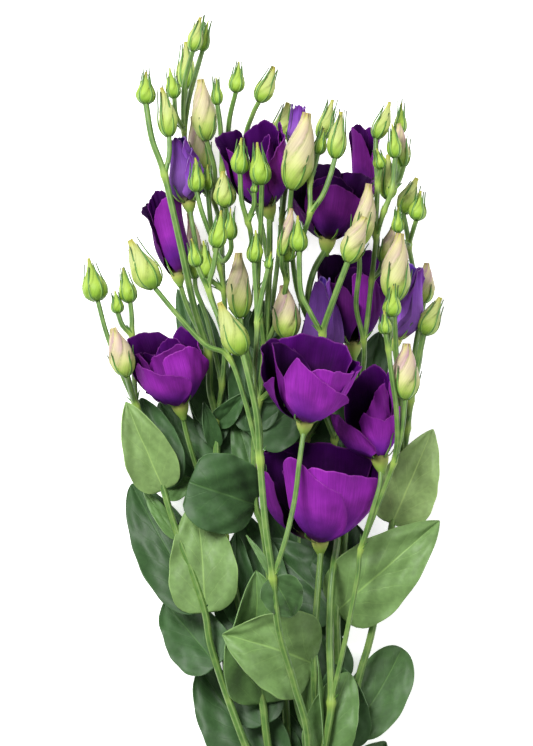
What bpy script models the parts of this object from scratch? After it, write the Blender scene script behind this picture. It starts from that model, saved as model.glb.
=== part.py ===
"""A tied bunch of cut lisianthus, laid down on a table with its heads towards +Y.

Nine leafy stems pass through one rubber band near their cut ends and fan out above it. Each stem
forks again and again, and carries pointed leaves, closed buds and, on most, a cup-shaped flower
of overlapping petals. Every stem with its leaves, buds and calyces is one solid, and every flower
is another, seated in its calyx. Places below are millimetres: x across the bunch, y along it and
z above the table. The finished bunch is moved so that its origin is the middle of its underside.
"""

import math
import random

import bmesh
import bpy
from mathutils import Matrix, Vector
from mathutils.geometry import intersect_point_line

MM = 0.001
UP = Vector((0, 0, 1))

# The rubber band and the bundle of stalks that it holds
BAND_CENTRE = (22, -330)
BAND_WIDTH = 8
BAND_WALL = 1.5
BAND_SIDES = 16
BUNDLE_RADIUS = 8.1
GRIP_LENGTH = 24
FOOT_LENGTH = 66
FOOT_SPREAD = 9
SEAT_GAP = 0.3

# Stalks, as radii at the foot and the head of each
MAIN_RADII = (2.9, 2.0)
STALK_RADII = (1.7, 1.6)
MAIN_SIDES = 6
STALK_SIDES = 5
SPAN_LENGTH = 40
MIDDLE_LIFT = 1.4

# Leaves. The outline is a power curve whose widest place, near the base, has the share 1.
LEAF_THICKNESS = 0.8
LEAF_ROWS = (0, 0.12, 0.4, 0.75, 1)
NARROW_LEAF = 30
LEAF_TIP = 0.7
LEAF_FULLNESS = 1.91
LEAF_SHOULDER = 0.33
LEAF_TAPER = 0.75
LEAF_FOOT = 0.004

# Cups of petals. A cup reaches its full width at a share of its length, the later the more open it
# is, and its lip starts to open or close just before that.
PETAL_THICKNESS = 0.9
PETAL_ROWS = (0.05, 0.3, 0.64, 1)
PETAL_COLUMNS = 3
PETAL_WHORLS = ((1, 1, 50), (0.58, 0.93, 56))
PETAL_UNEVEN = (-0.07, 0.04)
WHORL_TURN = (0.35, 0.65)
PETAL_CLAW = 0.55
CLAW_END = 0.12
CLAW_SPREAD = 0.5
PETAL_OVERLAP = (0.9, 0.085)
PETAL_RISE = 1.1
CORNER_DROP = 0.2
FRONT_DROP = 0.1
CUP_FOOT = 3
CUP_FULL = 0.42
CUP_GAIN = 0.3
CUP_SWELL = 0.72
LIP_LENGTH = 0.12
STRAIGHT_LIP = 0.62
SMALL_FLOWER = 15
HEART_FOOT = 3.24
HEART_HEIGHT = 0.09
HEART_SIDES = 6
HEART_REST = 1.6

# Buds and calyces
BUD_SHAPE = ((0.1, 0.7), (0.42, 1), (1, 0))
SEPALS = 3
SEPAL_RADIUS = 0.9
SEPAL_REACH = 0.1
SEPAL_SPREAD = 3
CALYX_HEIGHT = 5
CALYX_RADIUS = 3.6
CALYX_NECK = 1.8
FLAT_ANGLE = math.radians(2.8)

# Each stem: its seat in the bundle (degrees round it, None for the middle), its main stalk from the
# band upwards, its side stalks and its leaves. A stalk is its route and what it carries: a flower's
# name, or a bud's tip and width. A leaf is (base, tip, width, roll, arch, cup).
STEMS = {
    "stem_front": (
        95,
        ([(27, -242, 58), (18, -201, 74), (8, -166, 88), (4, -131, 97), (-1, -94, 103),
            (-4, -57, 105), (-6, -28, 111), (-11, -4, 114), (-15, 12, 113)],
            ("bud", (-30, 45, 115), 17)),
        [
            ([(-4, -57, 105), (-13, -20, 106), (-24, 10, 106), (-39, 18, 108), (-56, 36, 109),
                (-71, 54, 108)], ("bud", (-87, 85, 108), 18)),
            ([(-24, 10, 106), (-30, 33, 103), (-37, 53, 100), (-34, 67, 102), (-32, 80, 103)],
                ("bud", (-29, 104, 103), 11)),
            ([(-37, 53, 100), (-41, 61, 101), (-44, 68, 102)], ("bud", (-48, 86, 102), 9)),
            ([(-3, -54, 105), (-4, -36, 100), (-8, -10, 90), (-6, 32, 84), (-8, 71, 84)],
                ("bud", (-7, 92, 84), 10)),
            ([(-6, 32, 84), (-3, 50, 86), (1, 67, 87)], ("bud", (3, 78, 87), 5)),
            ([(4, -131, 97), (12, -107, 99), (18, -81, 98), (21, -57, 101), (24, -36, 98)],
                ("bloom", "bloom_centre")),
        ],
        [
            ((4, -131, 93), (17, -156, 84), 27, 0, 2, 4),
            ((4, -131, 97), (-13, -104, 92), 5, 0, 2, 0),
        ],
    ),
    "stem_low": (
        None,
        ([(31, -243, 40), (31, -178, 48), (35, -122, 42), (35, -115, 41)],
            ("bloom", "bloom_low")),
        [],
        [
            ((31, -189, 48), (-28, -169, 70), 58, 0, 7, 6),
            ((31, -238, 42), (22, -157, 52), 17, 0, 0, 2),
        ],
    ),
    "stem_right_front": (
        50,
        ([(38, -242, 50), (42, -214, 54), (41, -173, 52), (42, -142, 49), (44, -124, 42),
            (47, -106, 16), (47, -77, 8), (45, -44, 10), (41, -14, 32), (39, -2, 50),
            (41, 6, 66), (40, 15, 77), (36, 25, 81), (43, 47, 90), (52, 71, 94)],
            ("bud", (63, 100, 95), 15)),
        [
            ([(45, -44, 10), (37, -24, 28), (33, -8, 43), (34, 2, 50)],
                ("bloom", "bloom_violet_mid")),
            ([(36, 25, 81), (28, 39, 86), (22, 53, 87), (21, 78, 88)],
                ("bud", (20, 101, 88), 11)),
            ([(42, -214, 54), (51, -173, 60), (59, -131, 64), (61, -114, 65), (72, -85, 72),
                (82, -58, 80), (87, -37, 86), (89, -17, 88)], ("bud", (90, 19, 88), 18)),
            ([(82, -58, 80), (84, -42, 86), (83, -21, 92), (80, -1, 97), (78, 15, 98),
                (77, 20, 100), (76, 25, 101)], ("bud", (75, 40, 102), 8)),
            ([(78, 15, 98), (79, 25, 97), (80, 36, 96)], ("bud", (81, 56, 96), 11)),
            ([(61, -114, 65), (68, -90, 72), (73, -73, 73), (74, -61, 70)],
                ("bloom", "bloom_right")),
        ],
        [
            ((40, -258, 46), (53, -195, 46), 34, 0, 3, 4),
            ((37, -241, 50), (33, -183, 61), 9, 75, 0, 0),
        ],
    ),
    "stem_right": (
        5,
        ([(54, -244, 26), (60, -202, 28), (69, -169, 29), (81, -105, 33), (89, -57, 36),
            (94, -18, 44), (98, 5, 50), (102, 25, 52)], ("bud", (113, 49, 54), 14)),
        [
            ([(94, -18, 44), (97, 15, 34), (103, 46, 30)], ("bud", (105, 72, 28), 13)),
            ([(91, -37, 42), (86, -1, 46), (83, 18, 48)], ("bloom", "bloom_violet_right")),
            ([(89, -57, 38), (87, -18, 48), (84, 15, 62), (82, 46, 78)],
                ("bud", (86, 90, 80), 19)),
            ([(94, -18, 44), (101, 15, 30), (100, 48, 24), (95, 72, 36), (93, 83, 46),
                (95, 92, 54), (97, 99, 60)], ("bud", (100, 118, 62), 11)),
            ([(93, 83, 46), (91, 94, 47), (89, 104, 47)], ("bud", (98, 127, 46), 13)),
            ([(93, 83, 46), (88, 86, 58), (85, 91, 68)], ("bud", (85, 107, 70), 8)),
        ],
        [
            ((82, -99, 35), (108, -37, 50), 40, 0, 4, 3),
            ((59, -237, 26), (90, -181, 8), 39, 0, 2, 3),
            ((57, -247, 26), (45, -190, 42), 36, 0, 0, 2),
            ((49, -280, 19), (79, -243, 8), 30, 0, 2, 4),
        ],
    ),
    "stem_right_back": (
        -40,
        ([(47, -245, 18), (47, -201, 24), (46, -156, 30), (50, -123, 22), (53, -84, 9),
            (55, -51, 9), (58, -18, 18), (58, -1, 24), (57, 13, 27)], ("bloom", "bloom_deep")),
        [
            ([(58, -18, 18), (63, 2, 40), (63, 21, 56), (58, 43, 68), (60, 68, 74),
                (59, 81, 76)], ("bud", (66, 122, 77), 14)),
            ([(63, 21, 56), (65, 32, 60), (68, 60, 65), (70, 79, 66), (71, 89, 66),
                (71, 103, 66), (72, 122, 66), (73, 127, 68), (74, 132, 70)],
                ("bud", (71, 145, 72), 8)),
            ([(72, 122, 66), (71, 138, 60), (71, 152, 57)], ("bud", (80, 176, 56), 10)),
            ([(71, 89, 66), (76, 105, 68), (81, 118, 70), (83, 139, 70)],
                ("bud", (81, 161, 70), 9)),
            ([(76, 105, 68), (78, 109, 60), (79, 113, 56)], ("bud", (79, 142, 52), 12)),
            ([(81, 118, 70), (86, 125, 62), (89, 134, 58)], ("bud", (86, 162, 54), 10)),
            ([(81, 118, 70), (86, 132, 50), (87, 156, 42)], ("bud", (88, 176, 40), 8)),
            ([(68, 60, 65), (73, 66, 58), (75, 72, 54)], ("bud", (82, 95, 52), 10)),
        ],
        [
            ((47, -155, 31), (112, -97, 46), 50, 0, 8, 2),
            ((46, -158, 27), (-5, -109, 9), 44, 0, 0, 0),
            ((47, -205, 22), (28, -157, 14), 30, 0, 0, 2),
            ((49, -264, 14), (47, -217, 12), 24, 0, 0, 2),
        ],
    ),
    "stem_left": (
        140,
        ([(-15, -240, 38), (-35, -182, 44), (-40, -156, 46), (-49, -128, 46), (-57, -108, 46),
            (-67, -76, 46), (-76, -44, 46), (-85, -21, 46), (-88, -10, 60), (-90, -2, 70)],
            ("bud", (-99, 29, 75), 16)),
        [
            ([(-85, -21, 46), (-94, -1, 44), (-104, 25, 42), (-110, 47, 40)],
                ("bud", (-116, 75, 40), 16)),
            ([(-85, -21, 46), (-87, 8, 36), (-88, 25, 34), (-88, 36, 34), (-89, 46, 34)],
                ("bud", (-94, 69, 34), 11)),
            ([(-88, 25, 34), (-94, 31, 36), (-97, 39, 36)], ("bud", (-99, 54, 36), 8)),
        ],
        [
            ((-38, -156, 50), (-47, -83, 41), 45, 0, 2, 3),
            ((-41, -153, 42), (-89, -73, 10), 44, 0, 2, 3),
            ((-68, -76, 50), (-91, -19, 58), 33, 0, 3, 6),
            ((-65, -74, 42), (-82, -16, 30), 36, 0, 0, 4),
            ((-57, -109, 45), (-80, -76, 38), 12, 30, 0, 0),
            ((-66, -78, 44), (-48, -70, 34), 16, 0, 0, 2),
            ((-33, -192, 42), (-68, -150, 6), 40, 0, 0, 3),
            ((-2, -279, 31), (-34, -248, 28), 26, 0, 2, 4),
        ],
    ),
    "stem_left_mid": (
        185,
        ([(1, -244, 30), (-3, -213, 34), (-12, -175, 32), (-25, -122, 30), (-32, -70, 30),
            (-33, -31, 32), (-37, -11, 36), (-38, 13, 44), (-47, 43, 54), (-55, 80, 64),
            (-66, 128, 66), (-74, 151, 66), (-78, 174, 64)], ("bud", (-78, 195, 64), 12)),
        [
            ([(-66, 128, 66), (-63, 141, 64), (-63, 153, 62)], ("bud", (-68, 185, 62), 12)),
            ([(-33, -31, 32), (-29, -8, 34), (-27, 22, 38), (-28, 54, 44), (-33, 80, 50),
                (-37, 91, 66), (-42, 105, 72), (-45, 117, 72)], ("bud", (-46, 139, 73), 10)),
            ([(-33, 80, 50), (-36, 96, 60), (-38, 118, 62)], ("bud", (-38, 135, 62), 7)),
            ([(-33, 80, 50), (-28, 94, 64), (-26, 107, 74)], ("bud", (-28, 130, 78), 14)),
            ([(-38, 13, 44), (-45, 29, 32), (-52, 44, 32), (-57, 60, 35)],
                ("bloom", "bloom_rolled_left")),
            ([(-29, -106, 30), (-37, -86, 28), (-46, -61, 32), (-52, -40, 40), (-55, -26, 45)],
                ("bloom", "bloom_left")),
            ([(-28, 54, 44), (-42, 67, 47), (-47, 90, 51), (-50, 107, 47)],
                ("bloom", "bloom_violet_left")),
            ([(-28, 54, 44), (-30, 94, 26), (-35, 114, 20), (-41, 129, 19)],
                ("bud", (-48, 169, 17), 15)),
            ([(-35, 114, 20), (-34, 133, 28), (-39, 152, 32)], ("bud", (-43, 192, 34), 16)),
            ([(-35, 114, 20), (-50, 130, 16), (-54, 159, 30), (-54, 186, 34), (-51, 200, 38),
                (-48, 210, 40)], ("bud", (-43, 232, 41), 10)),
            ([(-54, 159, 30), (-50, 183, 26), (-42, 211, 26)], ("bud", (-38, 231, 26), 7)),
            ([(-54, 159, 30), (-54, 174, 22), (-53, 187, 18)], ("bud", (-53, 218, 14), 12)),
            ([(-54, 159, 30), (-59, 168, 42), (-60, 179, 44)], ("bud", (-63, 199, 44), 9)),
            ([(-29, -8, 34), (-39, 35, 24), (-46, 54, 23), (-47, 62, 23)],
                ("bud", (-51, 105, 20), 11)),
            ([(-27, 22, 38), (-35, 47, 48), (-40, 62, 52)], ("bud", (-41, 86, 54), 11)),
            ([(-33, 80, 50), (-28, 72, 68), (-23, 79, 76), (-23, 86, 78)],
                ("bud", (-23, 106, 79), 8)),
            ([(-29, 67, 47), (-29, 94, 30), (-29, 133, 30), (-30, 159, 38), (-32, 175, 40)],
                ("bud", (-33, 193, 40), 7)),
            ([(-29, 133, 30), (-26, 149, 24), (-24, 167, 34), (-20, 183, 42)],
                ("bud", (-18, 203, 43), 10)),
        ],
        [
            ((-7, -216, 38), (-6, -129, 58), 52, 16, 0, 9),
            ((-40, -78, 28), (-71, -19, 14), 36, 0, 0, 3),
            ((-34, -35, 28), (-59, 56, 0), 24, 0, 0, 2),
            ((-33, -33, 34), (-14, -13, 42), 15, 0, 2, 3),
            ((-33, -48, 32), (-41, -19, 40), 11, 0, 2, 2),
            ((-1, -267, 27), (-44, -195, 6), 50, 0, 0, 4),
            ((-15, -165, 31), (-20, -104, 30), 24, 0, 0, 2),
        ],
    ),
    "stem_mid_back": (
        -130,
        ([(14, -246, 12), (11, -202, 16), (4, -149, 24), (-2, -103, 32), (-7, -86, 36),
            (-8, -50, 39), (-5, -18, 42), (-1, 15, 44), (1, 48, 46), (2, 80, 47),
            (2, 103, 48)], ("bloom", "bloom_upper")),
        [
            ([(-1, 15, 44), (-6, 54, 58), (-10, 89, 76), (-12, 97, 80), (-16, 111, 86),
                (-17, 128, 88)], ("bud", (-16, 151, 89), 11)),
            ([(-12, 97, 80), (-8, 108, 84), (-8, 116, 86)], ("bud", (-7, 123, 86), 4)),
            ([(-6, 54, 58), (-4, 89, 78), (-3, 121, 90)], ("bud", (-6, 148, 90), 13)),
            ([(-4, -18, 42), (-10, 5, 48), (-15, 23, 54), (-17, 36, 56)],
                ("bud", (-18, 78, 58), 16)),
            ([(-4, -18, 42), (9, -5, 50), (14, 10, 56), (14, 22, 58)], ("bud", (11, 57, 60), 18)),
            ([(-1, 15, 44), (5, 54, 24), (10, 101, 14), (10, 137, 12), (9, 154, 13)],
                ("bud", (14, 178, 15), 14)),
            ([(10, 101, 14), (13, 124, 18), (18, 145, 27)], ("bloom", "bloom_violet_tip")),
            ([(3, 70, 46), (-5, 104, 24), (-13, 127, 16), (-14, 153, 22), (-9, 169, 34),
                (-5, 177, 38)], ("bud", (5, 200, 40), 12)),
            ([(-1, 15, 44), (9, 41, 58), (13, 60, 66), (13, 72, 68)], ("bud", (14, 96, 70), 12)),
            ([(13, 60, 66), (10, 69, 74), (10, 76, 77)], ("bud", (16, 106, 80), 9)),
        ],
        [
            ((-13, -86, 38), (-49, -71, 60), 52, 0, 5, 3),
            ((-9, -75, 37), (-21, -26, 26), 21, 0, 0, 2),
            ((3, -149, 24), (-17, -91, 14), 30, 0, 0, 2),
            ((-7, -44, 40), (30, -9, 30), 36, 0, 0, 2),
            ((-1, 14, 42), (-3, 48, 34), 24, 0, 0, 3),
            ((14, -261, 12), (-6, -220, 7), 28, 0, 0, 2),
            ((16, -278, 9), (14, -209, 3), 30, 0, 0, 2),
        ],
    ),
    "stem_back": (
        -85,
        ([(34, -246, 9), (29, -183, 8), (22, -123, 8), (22, -84, 7), (26, -44, 9),
            (29, -5, 22), (30, 28, 34), (27, 49, 45), (31, 67, 47), (39, 81, 42)],
            ("bloom", "bloom_mid")),
        [
            ([(30, 28, 34), (23, 47, 52), (21, 72, 66), (24, 89, 77), (28, 103, 84),
                (28, 123, 82), (31, 133, 80), (33, 141, 79)], ("bud", (37, 158, 78), 8)),
            ([(28, 103, 84), (36, 114, 86), (41, 127, 86), (44, 138, 84)],
                ("bud", (48, 168, 84), 12)),
            ([(28, 123, 82), (31, 138, 68), (35, 151, 64)], ("bud", (43, 177, 62), 10)),
            ([(30, 28, 34), (20, 54, 50), (16, 84, 60), (15, 103, 74), (16, 118, 85)],
                ("bud", (26, 167, 90), 20)),
            ([(26, -44, 9), (42, -18, 6), (63, 28, 6), (75, 68, 7), (71, 91, 7), (66, 111, 8)],
                ("bloom", "bloom_top_right")),
        ],
        [
            ((29, -183, 9), (54, -123, 6), 30, 0, 0, 2),
            ((31, -219, 8), (44, -159, 6), 24, 0, 0, 2),
        ],
    ),
}

# Each flower: the middle of its mouth, its radius and how far its mouth opens
BLOOMS = {
    "bloom_centre": ((29, 12, 116), 28, 1.0),
    "bloom_low": ((34, -58, 56), 35, 1.0),
    "bloom_right": ((65, 0, 70), 20, 0.55),
    "bloom_left": ((-66, 19, 56), 22, 0.85),
    "bloom_upper": ((-12, 157, 64), 20, 0.5),
    "bloom_mid": ((44, 132, 46), 24.5, 0.75),
    "bloom_rolled_left": ((-69, 117, 39), 10, 0.2),
    "bloom_violet_left": ((-57, 153, 50), 12, -0.5),
    "bloom_violet_mid": ((36, 61, 61), 13.5, -0.6),
    "bloom_deep": ((56, 73, 34), 20.5, 0.7),
    "bloom_violet_right": ((92, 70, 52), 13.5, -0.3),
    "bloom_top_right": ((63, 162, 10), 8.5, 0.3),
    "bloom_violet_tip": ((21, 176, 35), 6, 0.0),
}


def vector(place):
    """A place in millimetres as a vector in metres."""
    return Vector(place) * MM


def smooth_route(points, span_length):
    """Points along one smooth curve through the given ones, no further apart than span_length."""
    ends = [2 * points[0] - points[1], *points, 2 * points[-1] - points[-2]]
    route = [points[0].copy()]
    for before, start, end, after in zip(ends, ends[1:], ends[2:], ends[3:]):
        steps = max(1, math.ceil((end - start).length / span_length))
        for step in range(1, steps + 1):
            t = step / steps
            leave = (end - before) / 2
            arrive = (after - start) / 2
            route.append(
                start * (2 * t**3 - 3 * t**2 + 1)
                + leave * (t**3 - 2 * t**2 + t)
                + end * (3 * t**2 - 2 * t**3)
                + arrive * (t**3 - t**2)
            )
    return route


def finish(bm, name):
    """The bmesh as an object, with its faces pointing out."""
    bmesh.ops.recalc_face_normals(bm, faces=bm.faces[:])
    mesh = bpy.data.meshes.new(name)
    bm.to_mesh(mesh)
    bm.free()
    return bpy.data.objects.new(name, mesh)


def skin(name, rings):
    """A closed solid through rings of points, each the same number or a single point at an end."""
    bm = bmesh.new()
    loops = [[bm.verts.new(point) for point in ring] for ring in rings]
    for low, high in zip(loops, loops[1:]):
        sides = max(len(low), len(high))
        for side in range(sides):
            after = (side + 1) % sides
            corners = [low[side % len(low)], low[after % len(low)]]
            corners += [high[after % len(high)], high[side % len(high)]]
            bm.faces.new(list(dict.fromkeys(corners)))
    for loop in (loops[0], loops[-1]):
        if len(loop) > 2:
            bm.faces.new(loop)
    return finish(bm, name)


def ring(centre, axis, radius, sides, turn=0.0):
    """Points round an axis, the first one turned by an angle from straight up."""
    across = UP - axis * UP.dot(axis)
    if across.length < 0.05:
        across = Vector((0, 1, 0))
    across.normalize()
    points = []
    for side in range(sides):
        turned = Matrix.Rotation(turn + math.tau * side / sides, 3, axis) @ across
        points.append(centre + turned * radius)
    return points


def sweep(route, radii, sides):
    """Rings of straight-sided lengths that meet in mitred joints along a route."""
    headings = [(end - start).normalized() for start, end in zip(route, route[1:])]
    spokes = ring(Vector(), headings[0], 1, sides)
    rings = [[route[0] + spoke * radii[0] for spoke in spokes]]
    for centre, radius, before, after in zip(route[1:], radii[1:], headings, headings[1:]):
        mitre = before + after
        joint = []
        for spoke in spokes:
            arm = spoke * radius
            joint.append(centre + arm - before * (arm.dot(mitre) / before.dot(mitre)))
        rings.append(joint)
        turn = before.rotation_difference(after)
        spokes = [turn @ spoke for spoke in spokes]
    if radii[-1]:
        return [*rings, [route[-1] + spoke * radii[-1] for spoke in spokes]]
    return [*rings, [route[-1]]]


def blade(name, surface, columns, rows, thickness):
    """A thin closed plate on surface(u, v), with u from -1 to 1 across it and v along it."""
    small = 0.01
    faces = []
    for side in (1, -1):
        grid = []
        for v in rows:
            line = []
            for column in range(columns + 1):
                u = 2 * column / columns - 1
                across = surface(min(u + small, 1), v) - surface(max(u - small, -1), v)
                along = surface(u, min(v + small, 1)) - surface(u, max(v - small, 0))
                normal = across.cross(along).normalized()
                line.append(surface(u, v) + normal * (side * thickness * MM / 2))
            grid.append(line)
        faces.append(grid)
    bm = bmesh.new()
    upper, lower = ([[bm.verts.new(point) for point in line] for line in grid] for grid in faces)
    last = len(rows) - 1
    for row in range(last):
        for column in range(columns):
            for grid in (upper, lower):
                a, b = grid[row][column : column + 2]
                d, c = grid[row + 1][column : column + 2]
                bm.faces.new((a, b, c))
                bm.faces.new((a, c, d))
    edge = [(0, column) for column in range(columns)]
    edge += [(row, columns) for row in range(last)]
    edge += [(last, column) for column in range(columns, 0, -1)]
    edge += [(row, 0) for row in range(last, 0, -1)]
    for (row, column), (next_row, next_column) in zip(edge, edge[1:] + edge[:1]):
        a, b = upper[row][column], upper[next_row][next_column]
        c, d = lower[next_row][next_column], lower[row][column]
        bm.faces.new((a, b, c, d))
    return finish(bm, name)


def leaf_outline(v):
    """Half the width of a leaf as a share of its widest, from its clasping base to its point."""
    return LEAF_FULLNESS * (1 - v) ** LEAF_TAPER * (v + LEAF_FOOT) ** LEAF_SHOULDER


def leaf(name, base, tip, width, roll, arch, cup):
    """A pointed oval leaf that arches along its midrib, and whose edges stand cup higher."""
    along = vector(tip) - base
    turn = Matrix.Rotation(math.radians(roll), 3, along.normalized())
    side = turn @ along.cross(UP).normalized()
    above = side.cross(along).normalized()

    def surface(u, v):
        half = max(width / 2 * leaf_outline(v), LEAF_TIP)
        bow = max(math.sin(math.pi * v), 0)
        lift = arch * bow + cup * abs(u) ** 1.5 * bow**0.5
        point = base + along * v + (side * (u * half) + above * lift) * MM
        point.z = max(point.z, LEAF_THICKNESS * MM / 2)
        return point

    rows = LEAF_ROWS if width > NARROW_LEAF else LEAF_ROWS[::2]
    return blade(name, surface, 2, rows, LEAF_THICKNESS)


def bud_profile(base, tip, width):
    """Centres and radii of a closed bud, from just above its stalk to its point."""
    for share, girth in BUD_SHAPE:
        yield base + (tip - base) * share, width / 2 * girth * MM


def bloom_frame(base, mouth):
    """Axes of a flower: its own length, its side that faces up, and the one across both."""
    axis = (mouth - base).normalized()
    front = (UP - axis * UP.dot(axis)).normalized()
    return axis, front, axis.cross(front)


def cup_radius(v, radius, opening):
    """Radius of the outer petals at a share v of the flower's length."""
    full = CUP_FULL + CUP_GAIN * max(opening, 0)
    swell = math.sin(math.pi / 2 * min(v / full, 1)) ** CUP_SWELL
    lip = (opening - STRAIGHT_LIP) * max(v - full + LIP_LENGTH, 0)
    return CUP_FOOT + (radius - CUP_FOOT) * (swell + lip)


def petal(name, base, mouth, radius, opening, heading, whorl, number):
    """One petal of a flower, wrapped round its axis, with one edge under the next petal."""
    axis, front, across = bloom_frame(base, mouth)
    height = (mouth - base).length / MM
    shrink, reach, half_angle = PETAL_WHORLS[whorl]
    draw = random.Random(f"{name} {whorl} {number}")
    jitter = draw.uniform(*PETAL_UNEVEN)
    facing = math.cos(heading)

    def surface(u, v):
        widening = PETAL_CLAW + (1 - PETAL_CLAW) * min(max(v - CLAW_END, 0) / CLAW_SPREAD, 1)
        angle = heading + u * math.radians(half_angle) * widening
        around = cup_radius(v, radius, opening) * shrink
        out = around + u * max(PETAL_OVERLAP[0], PETAL_OVERLAP[1] * around)
        droop = 1 - CORNER_DROP * abs(u) ** 2.5 * v
        level = 1 + jitter * v**2 - FRONT_DROP * facing * v
        up = height * reach * v**PETAL_RISE * droop * level
        aside = front * math.cos(angle) + across * math.sin(angle)
        return base + axis * (up * MM) + aside * (out * MM)

    columns = PETAL_COLUMNS if whorl == 0 and radius > SMALL_FLOWER else 2
    rows = PETAL_ROWS if whorl == 0 else PETAL_ROWS[::2] + PETAL_ROWS[-1:]
    return blade(name, surface, columns, rows, PETAL_THICKNESS)


def flower(name, base, mouth, radius, opening):
    """The petals of one flower in two whorls, rooted in a short solid cup."""
    base, mouth = vector(base), vector(mouth)
    axis = (mouth - base).normalized()
    seat = base + axis * (SEAT_GAP * MM)
    height = (mouth - base).length
    shoulder = (cup_radius(HEART_HEIGHT, radius, opening) + HEART_REST) * MM
    heart = [(seat, HEART_FOOT * MM), (seat + axis * (height * HEART_HEIGHT), shoulder)]
    pieces = [skin(name, [ring(centre, axis, size, HEART_SIDES) for centre, size in heart])]
    counts = (5, 2) if radius > SMALL_FLOWER else (4, 1)
    for whorl, count in enumerate(counts):
        for number in range(count):
            heading = math.tau * (number + WHORL_TURN[whorl]) / count
            pieces.append(petal(name, base, mouth, radius, opening, heading, whorl, number))
    return pieces


def calyx_sepals(name, base, mouth, radius, opening):
    """Thin sepals that spread from the cup below the petals."""
    axis, front, across = bloom_frame(base, mouth)
    height = (mouth - base).length
    out = cup_radius(SEPAL_REACH, radius, opening) + SEPAL_SPREAD
    for number in range(SEPALS):
        angle = math.tau * (number + 0.5) / SEPALS
        aside = front * math.cos(angle) + across * math.sin(angle)
        foot = base - axis * (CALYX_HEIGHT / 2 * MM) + aside * (CALYX_RADIUS / 2 * MM)
        end = base + axis * (height * SEPAL_REACH - SEPAL_SPREAD * MM) + aside * (out * MM)
        root = ring(foot, (end - foot).normalized(), SEPAL_RADIUS * MM, 3)
        yield skin(name, [root, [end]])


def bundle_seat(seat):
    """Where a stem passes through the band: at an angle on the bundle's ring, or in its middle."""
    band_radius = BUNDLE_RADIUS + MAIN_RADII[0] + SEAT_GAP + BAND_WALL
    middle = band_radius / math.cos(math.pi / BAND_SIDES)
    if seat is None:
        return BAND_CENTRE[0], middle + MIDDLE_LIFT
    angle = math.radians(seat)
    return BAND_CENTRE[0] + BUNDLE_RADIUS * math.cos(angle), middle + BUNDLE_RADIUS * math.sin(angle)


def stalk(name, points, head, radii, sides):
    """The route of one stalk, and its pieces: one skin with the bud or calyx, and any sepals."""
    end = vector(points[-1])
    sepals = ()
    if head[0] == "bloom":
        mouth, radius, opening = BLOOMS[head[1]]
        drop = (end - vector(mouth)).normalized() * (CALYX_HEIGHT * MM)
        top = [(end + drop, radii[1] * MM), (end, CALYX_RADIUS * MM)]
        points = [*points[:-1], (end + drop * CALYX_NECK) / MM]
        sepals = calyx_sepals(name, end, vector(mouth), radius, opening)
    else:
        top = bud_profile(end, vector(head[1]), head[2])
    route = smooth_route([vector(point) for point in points], SPAN_LENGTH * MM)
    last = len(route) - 1
    sizes = [(radii[0] + (radii[1] - radii[0]) * place / last) * MM for place in range(last + 1)]
    centres = list(route)
    for centre, size in top:
        centres.append(centre)
        sizes.append(size)
    return route, [skin(name, sweep(centres, sizes, sides)), *sepals]


def nearest(place, routes):
    """The point on any of these routes that lies closest to a place."""
    found = []
    for route in routes:
        for start, end in zip(route, route[1:]):
            point, share = intersect_point_line(place, start, end)
            found.append(start if share < 0 else end if share > 1 else point)
    return min(found, key=lambda point: (point - place).length)


def stem(name, seat, main, stalks, leaves):
    """All of one leafy stem: its main stalk from the cut end to its head, side stalks and leaves."""
    x, z = bundle_seat(seat)
    draw = random.Random(name)
    foot = BAND_CENTRE[1] - FOOT_LENGTH - draw.uniform(0, FOOT_SPREAD)
    grip = [(x, BAND_CENTRE[1] + side * GRIP_LENGTH / 2, z) for side in (-1, 1)]
    points, head = main
    route, pieces = stalk(name, [(x, foot, z), *grip, *points], head, MAIN_RADII, MAIN_SIDES)
    routes = [route]
    for points, head in stalks:
        start = nearest(vector(points[0]), routes) / MM
        route, parts = stalk(name + "_side", [start, *points[1:]], head, STALK_RADII, STALK_SIDES)
        routes.append(route)
        pieces += parts
    for base, *shape in leaves:
        pieces.append(leaf(name + "_leaf", nearest(vector(base), routes), *shape))
    return pieces


def band():
    """The rubber band round the bundle of stalks."""
    inner = (BUNDLE_RADIUS + MAIN_RADII[0] + SEAT_GAP) / math.cos(math.pi / BAND_SIDES)
    outer = inner + BAND_WALL
    centre = vector((BAND_CENTRE[0], BAND_CENTRE[1], outer))
    bm = bmesh.new()
    loops = []
    for radius, side in ((inner, -1), (outer, -1), (outer, 1), (inner, 1)):
        middle = centre + Vector((0, side * BAND_WIDTH / 2 * MM, 0))
        turn = math.pi / BAND_SIDES
        points = ring(middle, Vector((0, 1, 0)), radius * MM, BAND_SIDES, turn)
        loops.append([bm.verts.new(point) for point in points])
    for low, high in zip(loops, loops[1:] + loops[:1]):
        for side in range(BAND_SIDES):
            after = (side + 1) % BAND_SIDES
            bm.faces.new((low[side], low[after], high[after], high[side]))
    return finish(bm, "rubber_band")


def material(name, colour, roughness):
    """A plain material with a linear RGB colour."""
    made = bpy.data.materials.new(name)
    made.use_nodes = True
    shader = made.node_tree.nodes["Principled BSDF"]
    shader.inputs["Base Color"].default_value = (*colour, 1)
    shader.inputs["Roughness"].default_value = roughness
    made.diffuse_color = (*colour, 1)
    return made


def merge_flat_faces(mesh):
    """Dissolves the seams that a union leaves inside flat faces, and triangulates again."""
    bm = bmesh.new()
    bm.from_mesh(mesh)
    bmesh.ops.dissolve_limit(
        bm, angle_limit=FLAT_ANGLE, verts=bm.verts[:], edges=bm.edges[:], delimit={"NORMAL"}
    )
    bmesh.ops.triangulate(bm, faces=bm.faces[:])
    bm.to_mesh(mesh)
    bm.free()


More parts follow.
